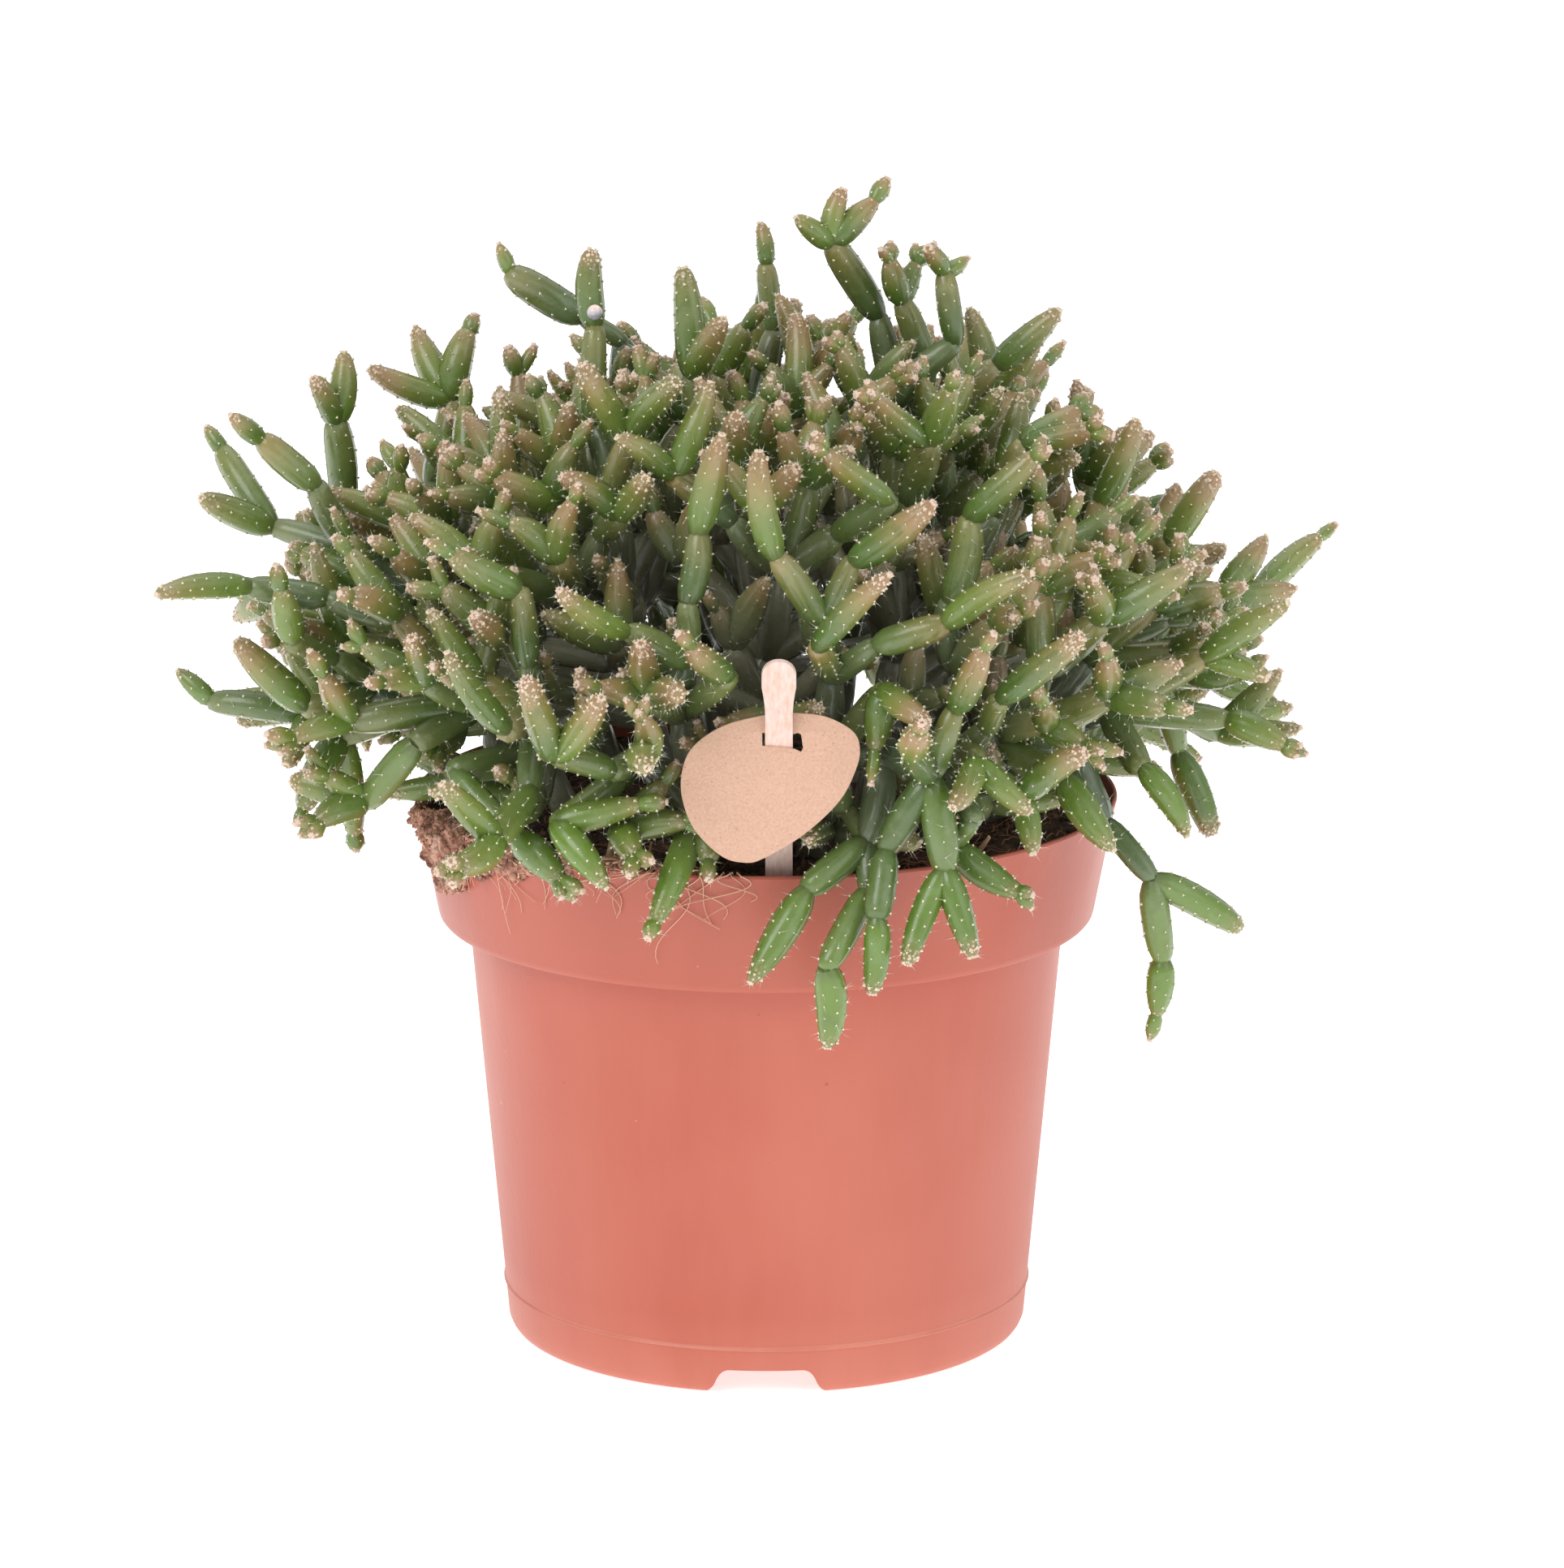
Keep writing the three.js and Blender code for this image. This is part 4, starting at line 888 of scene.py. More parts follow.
def clear_of_pot(link):
    for share in PAST_THE_NECK:
        x, y, z = point_on(link, share)
        out = math.hypot(x, y)
        if out < KEPT_RADIUS and z < KEPT_HEIGHT:
            away, depth = (0, 0, 1e-3), KEPT_HEIGHT - z
        else:
            held = min(out, KEPT_RADIUS) / out
            away, depth = minus((x, y, z), (x * held, y * held, min(z, KEPT_HEIGHT))), 0
        push(link, share, away, link.radius + STEM_GAP + depth - length(away))


def clear_of_clump(link):
    sizes = [size + (link.radius + STEM_GAP) for size in CLUMP_SIZE]
    for share in PAST_THE_NECK:
        away = minus(point_on(link, share), CLUMP_CENTRE)
        level = length([a / size for a, size in zip(away, sizes)])
        push(link, share, away, (1 - level) * sizes[2])


def clear_of_label(link):
    for share in WHOLE_STEM:
        x, y, z = point_on(link, share)
        beside = max(0, abs(x - CARD_MIDDLE[0]) - CARD_HALF_WIDTH)
        beyond = max(0, abs(z - CARD_MIDDLE[1]) - CARD_HALF_HEIGHT)
        behind = y - slot_y - (z - CARD_SLOT_HEIGHT) * math.tan(CARD_TILT)
        wanted = link.radius + CARD_GAP
        if math.hypot(beside, beyond) <= wanted and behind >= -CARD_REACH:
            push(link, share, (0, 1, 0), wanted - behind)
    for share in WHOLE_STEM:
        x, y, z = point_on(link, share)
        if z <= PICK_FOOT[2] + PICK_LENGTH:
            forward = (z - PICK_FOOT[2]) * math.tan(PICK_LEAN)
            away = (x - PICK_FOOT[0], y - PICK_FOOT[1] + forward, 0)
            push(link, share, away, link.radius + PICK_HEAD_WIDTH / 2 + PICK_GAP - length(away))


def settle():
    starts, ends = [link.a for link in links], [link.b for link in links]
    lengths = np.array([link.length for link in links])
    for _ in range(SETTLING_ROUNDS):
        at = np.array(joints)
        middles = (at[starts] + at[ends]) / 2
        for i, link in enumerate(links, 1):
            gaps = np.sqrt(((middles[i:] - middles[i - 1]) ** 2).sum(1))
            around = np.nonzero(gaps < (lengths[i:] + link.length) / 2 + PERHAPS_NEARBY)[0]
            middle = point_on(link, 0.5)
            for other in [links[i + k] for k in around]:
                reach = (link.length + other.length) / 2 + NEARBY
                if length(minus(middle, point_on(other, 0.5))) < reach:
                    part_stems(link, other)
        for link in links:
            if not link.basal:
                clear_of_pot(link)
                clear_of_clump(link)
                clear_of_label(link)
            along = minus(joints[link.b], joints[link.a])
            pull = times(times(along, 1 / length(along)), (length(along) - link.length) * STRETCH_TAKEN)
            move(link, 0, pull)
            move(link, 1, times(pull, -1))


heads = grow_cuttings()
settle()

# ---- Stems ----
# Short fleshy stems with eight low ribs, blunt at the end and narrowed to a neck where each springs from the
# last. Young ones are yellow-green, browned by the sun towards the tip, and those deep in the plant are
# painted grey-green and duller, as shade and partly as the greyer skin of old stems. Many tips have sprouted
# one to three small buds.

# Shares of a length, and how thick the stem is there as a share of its radius.
TIP_SHAPE = [(0, 0.5), (0.05, 0.68), (0.13, 0.87), (0.25, 0.98), (0.4, 1.0), (0.57, 0.94), (0.72, 0.81),
             (0.84, 0.64), (0.92, 0.5), (0.975, 0.34), (1, 0.13)]
BEARING_SHAPE = [(0, 0.54), (0.06, 0.73), (0.18, 0.94), (0.38, 1.0), (0.62, 0.99), (0.8, 0.91), (0.91, 0.76),
                 (0.98, 0.54), (1, 0.16)]
INNER_SHAPE = [(0, 0.54), (0.1, 0.8), (0.35, 1.0), (0.7, 0.98), (0.9, 0.78), (1, 0.16)]
BUD_SHAPE = [(0, 0.55), (0.3, 0.95), (0.6, 1.0), (0.82, 0.78), (0.95, 0.5), (1, 0.18)]
TAPERED_FROM, PAST_JOINT, BOW_MOST, SLIMNESS = 0.4, 0.3, 1.3, (0.91, 0.92, 0.91, 0.9)
BUD_SHARE, SECOND_BUD_SHARE, TWO_NOT_THREE, BUDS_LEFT_OUT = 0.62, 0.5, 0.6, 0.35
BUD_LENGTHS, BUD_RADII, BUD_LEAN, BUD_BEARER = (2.6, 5.8), (1.05, 1.6), math.radians(34), 11
YOUTH, SUNNED = (1, 0.62, 0.3), (1, 0.6, 0.2)
RIBS, RIB_RELIEF = 8, 0.05
# Distances from the crown's middle over which painted shade fades, full within DEEP and gone beyond OUTER.
DEEP, OUTER = 40, 66


def smooth_step(value, low, high):
    share = share_of((value - low) / (high - low))
    return share * share * (3 - 2 * share)


def levels_above(link):
    """How many stems still follow after this one."""
    return 1 + max(levels_above(following) for following in borne[link.b]) if borne[link.b] else 0


def sideways(way, turn):
    """A direction square to way, turned about it."""
    side = Vector(way).orthogonal().normalized()
    return Matrix.Rotation(turn, 3, Vector(way)) @ side


def stem_points(shape, start, end, radius, traits, bow=Vector()):
    """One stem as points along it, each with its girth and the traits that its colour and bristles follow."""
    rows = []
    for share, swell in shape:
        at = start.lerp(end, share) + bow * 4 * share * (1 - share)
        girth = radius * (swell ** traits["taper"] if share > TAPERED_FROM else swell)
        row = dict(traits, girth=girth, along=share)
        row["warmth"] = traits["warmth"] * smooth_step(share, 0.22, 0.98)
        row["tip"] = traits["tip"] * smooth_step(share, 0.7, 1.0)
        # Painted shade: how deep in the crown a point lies, which darkens its colour and its areoles' colour.
        row["deep"] = 1 - smooth_step((at - Vector(CROWN_CENTRE)).length, DEEP, OUTER)
        rows.append((at, row))
    return rows


borne = {joint: [] for joint in range(len(joints))}
for link in links:
    borne[link.a].append(link)
dice = random.Random(SEED)
stems = {cutting: [] for cutting in range(1 + max(link.cutting for link in links))}
for link in links:
    start, end = Vector(joints[link.a]), Vector(joints[link.b])
    way = (end - start).normalized()
    level = levels_above(link)
    outermost = level == 0
    low = 1 - smooth_step(end.z, 92, 128)
    youth = YOUTH[level] if level < 3 else 0.0
    sunned = smooth_step(end.z, 82, 135) * dice.uniform(0.2, 1.35)
    traits = dict(youth=youth, warmth=sunned * SUNNED[level] if level < 3 else 0, tone=dice.uniform(-1, 1))
    traits["tip"] = 0.55 + 0.45 * abs(traits["tone"]) if outermost else 0.0
    traits["taper"] = dice.uniform(0.55, 1.2)
    traits["fresh"] = low * youth * dice.uniform(0.2, 0.75) + (0.2 * dice.random() if outermost else 0)
    bow = sideways(way, dice.uniform(0, 2 * math.pi)) * dice.uniform(0, BOW_MOST) * min(1, link.length / 16)
    budding = outermost and link.length > BUD_BEARER and dice.random() < BUD_SHARE
    if budding and freedom[link.b] < ALL_FREE and dice.random() < BUDS_LEFT_OUT:
        budding = False
    radius = link.radius * SLIMNESS[min(level, 3)]
    if not budding:
        shape = TIP_SHAPE if outermost else BEARING_SHAPE if level < 3 else INNER_SHAPE
        end = end + way * (0 if outermost else PAST_JOINT * radius)
        stems[link.cutting].append(stem_points(shape, start, end, radius, traits, bow))
        continue
    bud = dice.uniform(*BUD_LENGTHS)
    neck = end - way * bud * 0.85
    traits["tip"] = 0.5
    stems[link.cutting].append(stem_points(TIP_SHAPE, start, neck, radius, traits, bow))
    count = 1 if dice.random() > SECOND_BUD_SHARE else 2 if dice.random() < TWO_NOT_THREE else 3
    spin = dice.uniform(0, 2 * math.pi)
    for k in range(count):
        lean = BUD_LEAN * dice.uniform(0.7, 1.3) if count > 1 else dice.uniform(0, 0.35)
        out = way * math.cos(lean) + sideways(way, spin + 2 * math.pi * k / count) * math.sin(lean)
        long = bud * (dice.uniform(0.6, 0.95) if k else 1)
        fresh = dict(traits, youth=1, warmth=min(1, 0.25 + traits["warmth"]), tip=1.0)
        fresh["tone"] = dice.uniform(-1, 1)
        root = neck - way * radius * 0.45
        thick = dice.uniform(*BUD_RADII)
        stems[link.cutting].append(stem_points(BUD_SHAPE, root, neck + out * long, thick, fresh))


def polylines(name, lines):
    """A mesh of open lines whose points carry the stems' traits."""
    points, edges, rows = [], [], []
    for line in lines:
        edges += [(len(points) + i, len(points) + i + 1) for i in range(len(line) - 1)]
        points += [at for at, _ in line]
        rows += [row for _, row in line]
    mesh = from_points(name, points, [], edges)
    for trait in rows[0]:
        values = [row[trait] * (MM if trait == "girth" else 1) for row in rows]
        mesh.attributes.new(trait, "FLOAT", "POINT").data.foreach_set("value", values)
    return mesh


def carried(tree, name):
    """A trait of the points that a rule works on."""
    return node(tree, "GeometryNodeInputNamedAttribute", {"Name": name}).outputs[0]


def painted(tree, name):
    """A trait of the spot that a material shades."""
    return node(tree, "ShaderNodeAttribute", attribute_name=name, attribute_type="GEOMETRY").outputs["Fac"]


def circle_of(tree, sides, radius):
    return node(tree, "GeometryNodeCurvePrimitiveCircle", {"Resolution": sides, "Radius": radius}).outputs[0]


def along_lines(tree, line, section, caps):
    """Draws a section along lines, as thick as their girth."""
    inputs = {"Curve": line, "Profile Curve": section, "Scale": carried(tree, "girth"), "Fill Caps": caps}
    return node(tree, "GeometryNodeCurveToMesh", inputs).outputs[0]


# Each line becomes a closed tube as thick as its girth, whose ribs are every other side of its section.
tubes, sizes = new_rule("ribbed_tubes", Sides="Int", Relief="Float", Finish="Material")
parity = maths(tubes, "MODULO", node(tubes, "GeometryNodeInputIndex").outputs[0], 2.0)
relief = product(tubes, maths(tubes, "SUBTRACT", 0.5, parity), product(tubes, sizes["Relief"], 2.0))
spot = node(tubes, "GeometryNodeInputPosition").outputs[0]
inputs = {0: spot, "Scale": total(tubes, 1.0, relief)}
spread = node(tubes, "ShaderNodeVectorMath", inputs, operation="SCALE").outputs[0]
inputs = {0: circle_of(tubes, sizes["Sides"], 1.0), "Position": spread}
section = node(tubes, "GeometryNodeSetPosition", inputs).outputs[0]
line = node(tubes, "GeometryNodeMeshToCurve", {0: sizes[0]}).outputs[0]
end_rule(tubes, along_lines(tubes, line, section, True), sizes["Finish"])

cactus_skin, tree, shader = new_material("cactus_skin", 0.36, 0.5)
mottle = grain(tree, 260, 4, 0.6)
tone = total(tree, product(tree, painted(tree, "tone"), 0.5), 0.5)
youth, along, warmth, tip = (painted(tree, name) for name in ("youth", "along", "warmth", "tip"))
warmth = product(tree, warmth, ranged(tree, mottle, 0.3, 0.7, 0.7, 1.25))
browned = product(tree, tip, ranged(tree, grain(tree, 900, 3, 0.6), 0.35, 0.65, 0.3, 0.8))
felt = ranged(tree, specks(tree, 1500), 0.28, 0.42, 1, 0)
felt = product(tree, ranged(tree, tip, 0.15, 0.9, 0, 0.95), felt)
# Pale bluish patches on the older stems: partly their wax bloom, partly a painted sheen in place of reflected
# light.
bloom_and_painted_sheen = product(tree, ranged(tree, grain(tree, 75), 0.5, 0.72), ranged(tree, youth, 1.0, 0.0, 0.08, 0.32))
old = mixed(tree, tone, (62, 78, 50), (90, 106, 70))
young = mixed(tree, tone, (74, 102, 38), (112, 134, 56))
# Painted shade: the duller grey laid over stems deep in the crown, partly also the greyer skin of old stems.
shade = mixed(tree, mottle, (98, 96, 82), (134, 130, 108))
layered(tree, shader, mixed(tree, youth, old, young),
        (painted(tree, "fresh"), (98, 128, 40)),
        (ranged(tree, warmth, 0.0, 0.75, 0, 0.85), (146, 132, 76)),
        (ranged(tree, warmth, 0.5, 1.1, 0, 0.7), (152, 116, 80)),
        (browned, (150, 112, 84)),
        (felt, (222, 198, 178)),
        (ranged(tree, mottle, 0.55, 0.75, 0, 0.2), (156, 172, 134)),
        (ranged(tree, mottle, 0.45, 0.25, 0, 0.3), (54, 68, 42)),
        (bloom_and_painted_sheen, (152, 166, 142)),
        (ranged(tree, along, 0.14, 0.0, 0.0, 0.5), (74, 76, 50)),
        (ranged(tree, painted(tree, "deep"), 0, 1, 0, 0.88), shade))
tree.links.new(ranged(tree, mottle, 0.3, 0.7, 0.24, 0.42), shader.inputs["Roughness"])
shader.inputs["Coat Weight"].default_value = 0.45
shader.inputs["Coat Roughness"].default_value = 0.17
bumped(tree, shader, total(tree, mottle, grain(tree, 1500, 2)), 0.18, 0.0004)

lines = {cutting + 1: polylines(f"lines_{cutting + 1:02d}", rows) for cutting, rows in stems.items()}
for number, line_mesh in lines.items():
    inputs = dict(Sides=2 * RIBS, Relief=RIB_RELIEF, Finish=cactus_skin)
    piece(worked(f"stems_{number:02d}", line_mesh.copy(), tubes, **inputs), "stem", f"cutting_{number:02d}")

# ---- Areoles and bristles ----
# Every rib bears a row of cream woolly dots, the areoles, staggered from rib to rib, and each holds up to two
# soft white bristles. They crowd together into a pinkish cap on the tips, and the oldest stems have lost most
# of them.

AREOLE_SPACING, AREOLE_RADIUS, AREOLE_SWELL, AREOLE_SEED = 1.22, 0.25, (0.7, 1.35), 11
BRISTLE_RADIUS, BRISTLE_LENGTH, BRISTLE_STRETCH, BRISTLE_ASLANT = 0.03, 1.35, (0.45, 1.45), 0.75
CAP_FROM, CAP_FULLER, BARE_UP_TO = 0.45, 0.8, 0.09
KEPT_WHEN_OLD, MORE_WHEN_YOUNG, LOST_IN_THE_DARK = 0.16, 0.8, 0.75
# The seed of each bristle's draws, and how many areoles bear it.
BRISTLES = ((21, 0.7), (22, 0.28))


def compared(tree, first, operation, second):
    return node(tree, "FunctionNodeCompare", {0: first, 1: second}, operation=operation).outputs[0]


def logic(tree, first, operation, second):
    return node(tree, "FunctionNodeBooleanMath", {0: first, 1: second}, operation=operation).outputs[0]


def aligned(tree, direction):
    return node(tree, "FunctionNodeAlignRotationToVector", {"Vector": direction}).outputs[0]


def told_apart(tree, instances, bristle):
    """Marks instances as bristles, with 1, or as wool, with 0."""
    inputs = {0: instances, "Name": "bristle", "Value": bristle}
    return node(tree, "GeometryNodeStoreNamedAttribute", inputs, domain="INSTANCE").outputs[0]


areoles, sizes = new_rule("areoles", Ribs="Int", Relief="Float", Spacing="Float", Areole_radius="Float",
                          Bristle_radius="Float", Bristle_length="Float", Seed="Int", Finish="Material")
line = node(areoles, "GeometryNodeMeshToCurve", {0: sizes[0]}).outputs[0]
inputs = {"Curve": line, "Length": sizes["Spacing"]}
line = node(areoles, "GeometryNodeResampleCurve", inputs, mode="LENGTH").outputs[0]
section = circle_of(areoles, sizes["Ribs"], total(areoles, 1.0, sizes["Relief"]))
facing = node(areoles, "GeometryNodeCaptureAttribute", {0: along_lines(areoles, line, section, False)})
facing.domain = "POINT"
facing.capture_items.new("VECTOR", "Facing")
areoles.links.new(node(areoles, "GeometryNodeInputNormal").outputs[0], facing.inputs[1])
skin, outward = facing.outputs[0], facing.outputs[1]
tip, along, youth, deep = (carried(areoles, name) for name in ("tip", "along", "youth", "deep"))
index = node(areoles, "GeometryNodeInputIndex").outputs[0]
row = maths(areoles, "FLOOR", maths(areoles, "DIVIDE", index, sizes["Ribs"]), 0.0)
staggered = compared(areoles, maths(areoles, "MODULO", total(areoles, row, index), 2.0), "LESS_THAN", 0.5)
placed = logic(areoles, staggered, "OR", compared(areoles, tip, "GREATER_THAN", CAP_FROM))
in_light = maths(areoles, "SUBTRACT", 1.0, product(areoles, deep, LOST_IN_THE_DARK))
likely = total(areoles, product(areoles, youth, MORE_WHEN_YOUNG), KEPT_WHEN_OLD)
likely = product(areoles, likely, in_light)
kept = drawn(areoles, "BOOLEAN", sizes["Seed"], {"Probability": likely})
placed = logic(areoles, placed, "AND", compared(areoles, along, "GREATER_THAN", BARE_UP_TO))
inputs = {0: skin, "Selection": logic(areoles, placed, "AND", kept)}
dots = node(areoles, "GeometryNodeMeshToPoints", inputs).outputs[0]
inputs = {"Segments": 3, "Rings": 2, "Radius": sizes["Areole radius"]}
wool = node(areoles, "GeometryNodeMeshUVSphere", inputs).outputs[0]
fuller = total(areoles, product(areoles, tip, CAP_FULLER), 1.0)
swell = drawn(areoles, "FLOAT", AREOLE_SEED, {2: AREOLE_SWELL[0], 3: AREOLE_SWELL[1]})
swell = product(areoles, swell, fuller)
parts = [told_apart(areoles, on_points(areoles, dots, wool, aligned(areoles, outward), swell), 0.0)]
inputs = {"Vertices": 3, "Radius Bottom": sizes["Bristle radius"], "Depth": sizes["Bristle length"]}
needle = node(areoles, "GeometryNodeMeshCone", inputs).outputs[0]
for seed, share in BRISTLES:
    aslant = drawn(areoles, "FLOAT_VECTOR", seed, {0: (-BRISTLE_ASLANT,) * 3, 1: (BRISTLE_ASLANT,) * 3})
    aslant = node(areoles, "ShaderNodeVectorMath", {0: outward, 1: aslant}, operation="ADD").outputs[0]
    tall = drawn(areoles, "FLOAT", seed + 5, {2: BRISTLE_STRETCH[0], 3: BRISTLE_STRETCH[1]})
    here = drawn(areoles, "BOOLEAN", seed + 9, {"Probability": share})
    spines = on_points(areoles, dots, needle, aligned(areoles, aslant), tall, Selection=here)
    parts.append(told_apart(areoles, spines, 1.0))
whole = node(areoles, "GeometryNodeJoinGeometry")
for part in parts:
    areoles.links.new(part, whole.inputs[0])
end_rule(areoles, whole.outputs[0], sizes["Finish"])

areole_wool, tree, shader = new_material("areole_wool", 0.75, 0.3)
layered(tree, shader, mixed(tree, grain(tree, 900, 2), (222, 212, 172), (238, 232, 208)),
        (ranged(tree, painted(tree, "tip"), 0.2, 0.9, 0, 0.85), (224, 197, 179)),
        (ranged(tree, painted(tree, "youth"), 0.5, 0.0, 0, 0.6), (150, 142, 120)),
        (painted(tree, "bristle"), (232, 234, 226)),
        # Painted shade: areoles deep in the crown are painted darker.
        (ranged(tree, painted(tree, "deep"), 0, 1, 0, 0.8), (112, 106, 90)))

inputs = dict(Ribs=RIBS, Relief=RIB_RELIEF, Spacing=AREOLE_SPACING * MM, Areole_radius=AREOLE_RADIUS * MM,
              Bristle_radius=BRISTLE_RADIUS * MM, Bristle_length=BRISTLE_LENGTH * MM, Finish=areole_wool)
for number, line_mesh in lines.items():
    piece(worked(f"bristles_{number:02d}", line_mesh, areoles, Seed=number - 1, **inputs), "stem")

# ---- Berry ----
# One ripe fruit, a pearly white ball of some 2.6 mm, dimpled where its flower has withered, sits in the angle
# of a joint near the top of the left side. Its shading is painted on: grey-blue below, pale pink towards the
# top.

BERRY_SHOOT, BERRY_RADIUS, BERRY_OFFSET, BERRY_TILT = 5, 1.3, (0, -2.7, 3.2), math.radians(35)
DIMPLE_SHARE, DIMPLE_DEPTH = 0.45, 0.8

berry_centre = Vector(joints[heads[BERRY_SHOOT].joint]) + Vector(BERRY_OFFSET)
berry = bmesh.new()
bmesh.ops.create_uvsphere(berry, u_segments=24, v_segments=14, radius=BERRY_RADIUS)
for vertex in berry.verts:
    out = math.hypot(vertex.co.x, vertex.co.y) / BERRY_RADIUS
    if vertex.co.z > 0 and out < DIMPLE_SHARE:
        vertex.co.z -= (DIMPLE_SHARE - out) * DIMPLE_DEPTH
bmesh.ops.transform(berry, matrix=Matrix.Rotation(BERRY_TILT, 4, "X"), verts=berry.verts)
for vertex in berry.verts:
    vertex.co = (vertex.co + berry_centre) * MM
pearl, tree, shader = new_material("pearl_fruit", 0.18, 0.6)
# Painted shade and light: the berry is painted grey-blue below, as shade, and pale pink towards its top, as
# lit.
low, high = ((berry_centre.z + share * BERRY_RADIUS) * MM for share in (-0.3, 0.8))
painted_berry_shade = mixed(tree, ranged(tree, grain(tree, 700), 0.4, 0.7), (158, 160, 174), (190, 188, 198))
layered(tree, shader, painted_berry_shade, (ranged(tree, height_on(tree), low, high), (238, 216, 206)))
shader.inputs["Coat Weight"].default_value = 0.6
bumped(tree, shader, grain(tree, 1600), 0.15, 0.0003)
piece(to_object("berry", written(berry, bpy.data.meshes.new("berry")), pearl, 60), "stem")

# ---- Label pick ----
# A flat birch pick with a round head, sawn from thin sheet and tumbled until its edges are soft. It is pushed
# into the peat at the front and leans out over the rim.

PICK_STEM_WIDTH, PICK_THICKNESS, PICK_SOFTENED = 4.5, 1.1, 0.14
PICK_POINT_WIDTH, PICK_POINT_LENGTH, PICK_SHOULDER, PICK_HEAD_STEPS = 0.45, 7, 8, 20


def flat_shape(name, outlines, thickness, softened, place, *materials):
    """A closed sheet of the given outlines, the later ones cut out, with softened edges, moved to its place.

    A second material goes on its cut edges.
    """
    sheet = bpy.data.curves.new(name, "CURVE")
    sheet.dimensions, sheet.fill_mode = "2D", "BOTH"
    sheet.extrude, sheet.offset = (thickness / 2 - softened) * MM, -softened * MM
    sheet.bevel_depth, sheet.bevel_resolution = softened * MM, 2
    for outline in outlines:
        spline = sheet.splines.new("POLY")
        spline.points.add(len(outline) - 1)
        spline.use_cyclic_u = True
        for point, (x, y) in zip(spline.points, outline):
            point.co = (x * MM, y * MM, 0, 1)
    mesh = faced_out(finished(to_object(name, sheet), name))
    mesh.materials.clear()
    for material in materials:
        mesh.materials.append(material)
    for face in mesh.polygons:
        face.material_index = 1 if len(materials) > 1 and abs(face.normal.z) < 0.6 else 0
    mesh.transform(place)
    return mesh


stem_half, head_half, shoulder = PICK_STEM_WIDTH / 2, PICK_HEAD_WIDTH / 2, PICK_LENGTH - PICK_SHOULDER
flank = [(stem_half * PICK_POINT_WIDTH, 0), (stem_half, PICK_POINT_LENGTH), (stem_half, shoulder - 2.5)]
flank += bend(flank[-1], (stem_half, shoulder), (head_half, shoulder + 3))
head_turns = [math.radians(90 * i / PICK_HEAD_STEPS) for i in range(PICK_HEAD_STEPS)]
flank += [(x, PICK_LENGTH - head_half + y) for x, y in (at_turn(head_half, turn) for turn in head_turns)]
pick_outline = flank + [(-x, y) for x, y in reversed(flank)]
pick_place = Matrix.Translation(Vector(PICK_FOOT) * MM) @ Matrix.Rotation(math.pi / 2 + PICK_LEAN, 4, "X")
birch, tree, shader = new_material("birch", 0.62, 0.35)
along_pick = place_on(tree, (1, 1, 0.06), (-PICK_LEAN, 0, 0))
fibre, rings = grain(tree, 1500, 4, 0.6, along_pick), grain(tree, 420, 2, 0.5, along_pick)
layered(tree, shader, mixed(tree, ranged(tree, fibre, 0.35, 0.7), (215, 183, 168), (232, 210, 202)),
        (ranged(tree, rings, 0.55, 0.75, 0, 0.4), (216, 180, 148)))
bumped(tree, shader, fibre, 0.35, 0.0003)
pick_mesh = flat_shape("birch_pick", [pick_outline], PICK_THICKNESS, PICK_SOFTENED, pick_place, birch)
piece(to_object("birch_pick", pick_mesh, smooth=35), "label_pick", "label_pick")

# ---- Label card ----
# A plain tag, die-cut from 0.6 mm unbleached board into a soft three-cornered pebble, and hung on the pick by
# a slot that is wider than the pick. Its cut edges are paler than its face.

CARD_THICKNESS, CARD_SOFTENED = 0.6, 0.1
CARD_OUTLINE = [(-2.6, 3.7), (2.4, 4.1), (7.6, 3.5), (11.9, 1.2), (13.1, -1.5), (12.5, -5), (9.8, -10.2),
                (4.1, -15.6), (-2.6, -19.6), (-5.9, -20.2), (-9.4, -19.1), (-13.5, -15.1), (-15.5, -10.5),
                (-15.8, -6), (-14.1, -1.6), (-9.3, 1.9)]
SLOT = [(-2.7, -1.2), (2.5, -1.7), (3.6, -2.2), (3.9, -1.6), (3.6, 0.6), (3.1, 0.9), (2.4, 0.7), (-2.7, 0.9)]


def rounded(outline, steps=10):
    """A closed outline through the given points, as a Catmull-Rom curve."""
    smooth = []
    for i in range(len(outline)):
        p, q, r, s = (Vector(outline[(i + k) % len(outline)]) for k in (-1, 0, 1, 2))
        for t in (k / steps for k in range(steps)):
            bent = 2 * q + (r - p) * t + (2 * p - 5 * q + 4 * r - s) * t * t
            smooth.append(tuple(0.5 * (bent + (3 * q - p - 3 * r + s) * t ** 3)))
    return smooth


def two_toned(name, roughness, specular, first, second, *pattern, stretch=(1, 1, 1)):
    """A material whose colour wanders between two; the pattern is its noise's scale, detail and roughness."""
    material, tree, shader = new_material(name, roughness, specular)
    layered(tree, shader, mixed(tree, grain(tree, *pattern, place=place_on(tree, stretch)), first, second))
    return material


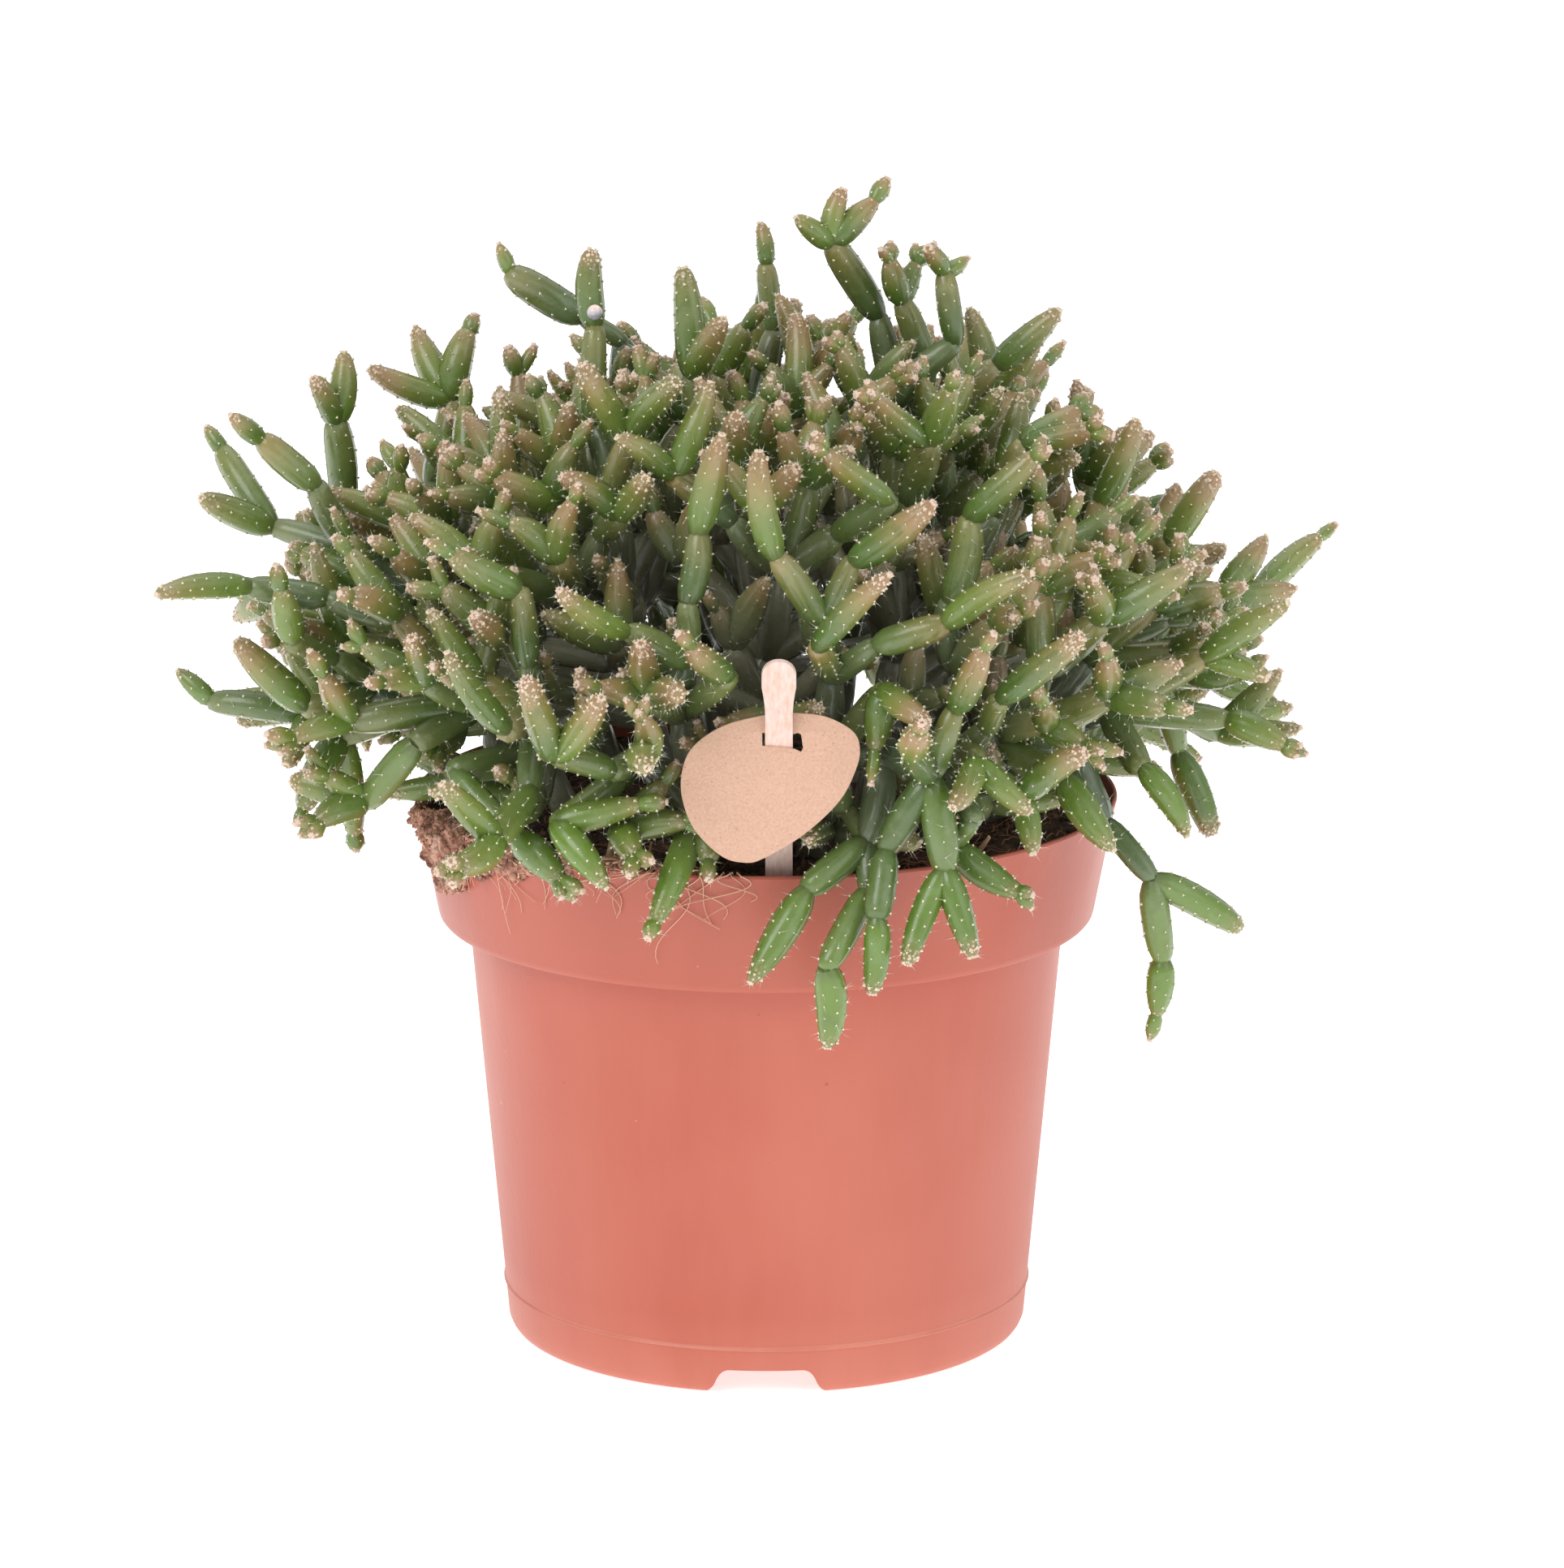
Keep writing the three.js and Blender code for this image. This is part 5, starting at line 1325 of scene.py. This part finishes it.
card_place = Matrix.Translation(Vector((PICK_FOOT[0], slot_y, CARD_SLOT_HEIGHT)) * MM)
card_place = card_place @ Matrix.Rotation(math.pi / 2 - CARD_TILT, 4, "X")
kraft, tree, shader = new_material("kraft_board", 0.85, 0.25)
pulp = grain(tree, 2400, 5, 0.75)
hairs = grain(tree, 900, 4, 0.7, place_on(tree, (1, 1, 2.6), (0.3, 0.4, 0.2)))
shives = specks(tree, 620, place_on(tree, (1, 1, 1.9), (0.2, 0.9, 0.4)))
layered(tree, shader, mixed(tree, ranged(tree, pulp, 0.3, 0.7), (194, 153, 130), (215, 179, 158)),
        (ranged(tree, hairs, 0.6, 0.74, 0, 0.35), (238, 206, 180)),
        (ranged(tree, shives, 0.06, 0.12, 0.65, 0), (150, 98, 66)))
bumped(tree, shader, pulp, 0.3, 0.0002)
cut_edge = two_toned("kraft_cut_edge", 0.9, 0.2, (224, 184, 150), (246, 220, 196), 1800)
card_mesh = flat_shape("kraft_card", [rounded(CARD_OUTLINE), SLOT], CARD_THICKNESS, CARD_SOFTENED, card_place,
                       kraft, cut_edge)
piece(to_object("kraft_card", card_mesh, smooth=35), "label_card", "label_card")

# ---- Fibres, root hairs and straw ----
# Coir and dead roots lie tangled on the peat, fine pale root hairs trail over the rim and down the band at
# the left of the front, and a few splinters of straw stand in the peat.

THREADS_ON_TOP, THREADS_ON_WAD, HAIRS_OVER_RIM = 190, 170, 60
THREAD_STEPS, THREAD_STEP, PEAT_REACH, HAIR_STEPS = 9, 1.5, 57, 16
HAIRS_FROM, HAIRS_TO, HAIRS_OVER = math.radians(205), math.radians(266), ((57, 92.5), (59.4, 94.5))
# Each splinter's foot, then how far it reaches from there, then its width.
STRAW = [((-26, -44, 91), (0.8, -1.5, 6.5), 0.62), ((-22, -47, 91), (-1, 0, 5), 0.3),
         ((-19.5, -46, 91), (0.6, -0.6, 5.5), 0.28), ((34, -38, 91), (3, -3, 5), 0.5),
         ((-34, -36, 91), (-4, -4, 3), 0.4)]


def strand(points, radius):
    """A line through the points, as a stem's is, that tapers from its start."""
    last = len(points) - 1
    return [(Vector(at), dict(girth=radius * (1 - 0.6 * i / last), along=i / last))
            for i, at in enumerate(points)]


threads, dry_threads, hairs_down = [], [], []
for i in range(THREADS_ON_TOP):
    turn, out = dice.uniform(0, 2 * math.pi), PEAT_REACH * math.sqrt(dice.random())
    if i % 3 == 0:
        turn, out = math.radians(dice.uniform(205, 335)), dice.uniform(46, PEAT_REACH)
    (x, y), way = at_turn(out, turn), turn + dice.uniform(0.9, 2.2)
    points = []
    for k in range(THREAD_STEPS):
        if math.hypot(x, y) > PEAT_REACH:
            break
        points.append((x, y, lumpy_top(x, y, SOIL_EDGE_HEIGHT) + 0.15 + 0.9 * abs(math.sin(1.3 * k + turn))))
        way += dice.uniform(-0.5, 0.5)
        dx, dy = at_turn(THREAD_STEP, way)
        x, y = x + dx, y + dy
    if len(points) > 3:
        threads.append(strand(points, dice.uniform(0.1, 0.24)))
for i in range(THREADS_ON_WAD):
    (turn, out, up), size = WAD[i % len(WAD)]
    spun = Matrix.Rotation(math.radians(turn), 3, "Z")
    centre = spun @ Vector((out, 0, up))
    way = Vector((dice.uniform(-1, 0.4), dice.uniform(-1, 0.6), dice.uniform(-0.7, 1))).normalized()
    turn_axis = sideways(way, dice.uniform(0, 6.28))
    points = []
    for k in range(THREAD_STEPS):
        side = Matrix.Rotation(0.16 * (k - 4), 3, turn_axis) @ way
        stand_off = 1.04 + 0.05 * math.sin(2.1 * k + i)
        points.append(centre + spun @ Vector([s * d * stand_off for s, d in zip(size, side)]))
    points = [p for p in points if math.hypot(p.x, p.y) > band_radius(p.z) + 0.2 or p.z > POT_HEIGHT + 0.2]
    if len(points) > 3:
        dry_threads.append(strand(points, dice.uniform(0.12, 0.3)))
for i in range(HAIRS_OVER_RIM):
    turn = dice.uniform(HAIRS_FROM, HAIRS_TO)
    drop = dice.uniform(2, 14) * (1.2 if i % 4 == 0 else 0.7)
    sway, drift = dice.uniform(-0.16, 0.16), dice.uniform(-0.07, 0.07)
    points = [(*at_turn(out, turn), z) for out, z in HAIRS_OVER]
    for share in (k / HAIR_STEPS for k in range(1, HAIR_STEPS + 1)):
        z = POT_HEIGHT + 0.2 - drop * share ** 1.2
        a = turn + sway * share + drift * (math.sin(5 * share + i) - math.sin(i))
        out = band_radius(z) + (0.25 + 0.9 * share * math.sin(2.2 * share + i) ** 2)
        points.append((*at_turn(out, a), z))
    hairs_down.append(strand(points, dice.uniform(0.07, 0.15)))
splinters = [strand([Vector(at) + Vector(way) * t for t in (0, 0.3, 0.65, 1)], 1.5 * width)
             for at, way, width in STRAW]

coir = two_toned("coir", 0.85, 0.25, (84, 58, 46), (168, 124, 98), 160)
root_hair = two_toned("root_hair", 0.7, 0.3, (206, 150, 124), (232, 192, 164), 200)
straw = two_toned("straw", 0.6, 0.35, (184, 142, 104), (226, 190, 150), 500, 3, 0.6, stretch=(1, 1, 0.15))
for name, rows, finish, sides, relief in (("coir_threads", threads, coir, 4, 0.0),
                                          ("wad_threads", dry_threads, root_hair, 4, 0.0),
                                          ("root_hairs", hairs_down, root_hair, 4, 0.0),
                                          ("straw", splinters, straw, 6, 0.25)):
    piece(worked(name, polylines(name, rows), tubes, Sides=sides, Relief=relief, Finish=finish), "peat")

# ---- Floor, backdrop and lights ----
# A plain white studio floor of lit acrylic, under one large soft light from the left of the front, a weaker
# one from the right and one from above, in a white room.

FLOOR_HALF, FLOOR_DROP = 20000, 0.02
# Each light's place and width in metres, and its power in watts.
LIGHTS = {"key": ((-0.9, -1.1, 1.35), 1.0, 13),
          "fill": ((1.2, -0.9, 0.8), 1.2, 5),
          "top": ((0.1, 0.5, 1.6), 1.2, 4)}
LIT_SPOT, WHITE = Vector((0, 0, 0.1)), (1, 1, 1, 1)

acrylic = two_toned("studio_floor", 0.8, 0.2, (250, 250, 250), (253, 253, 253), 2, 1)
shader = acrylic.node_tree.nodes["Principled BSDF"]
shader.inputs["Emission Color"].default_value = WHITE
shader.inputs["Emission Strength"].default_value = 0.65
corners = [(x * FLOOR_HALF, y * FLOOR_HALF, -FLOOR_DROP) for x, y in ((-1, -1), (1, -1), (1, 1), (-1, 1))]
floor = to_object("floor", from_points("floor", corners, [(0, 1, 2, 3)]), acrylic)

for name, (place, size, power) in LIGHTS.items():
    lamp = bpy.data.lights.new(name, "AREA")
    lamp.size, lamp.energy = size, power
    light = to_object(name, lamp)
    light.location = place
    light.rotation_euler = (LIT_SPOT - Vector(place)).to_track_quat("-Z", "Y").to_euler()

room = bpy.data.worlds.new("white_room")
room.use_nodes = True
room.node_tree.nodes["Background"].inputs["Color"].default_value = WHITE
room.node_tree.nodes["Background"].inputs["Strength"].default_value = 0.7
bpy.context.scene.world = room
bpy.context.scene.view_settings.view_transform = "Standard"
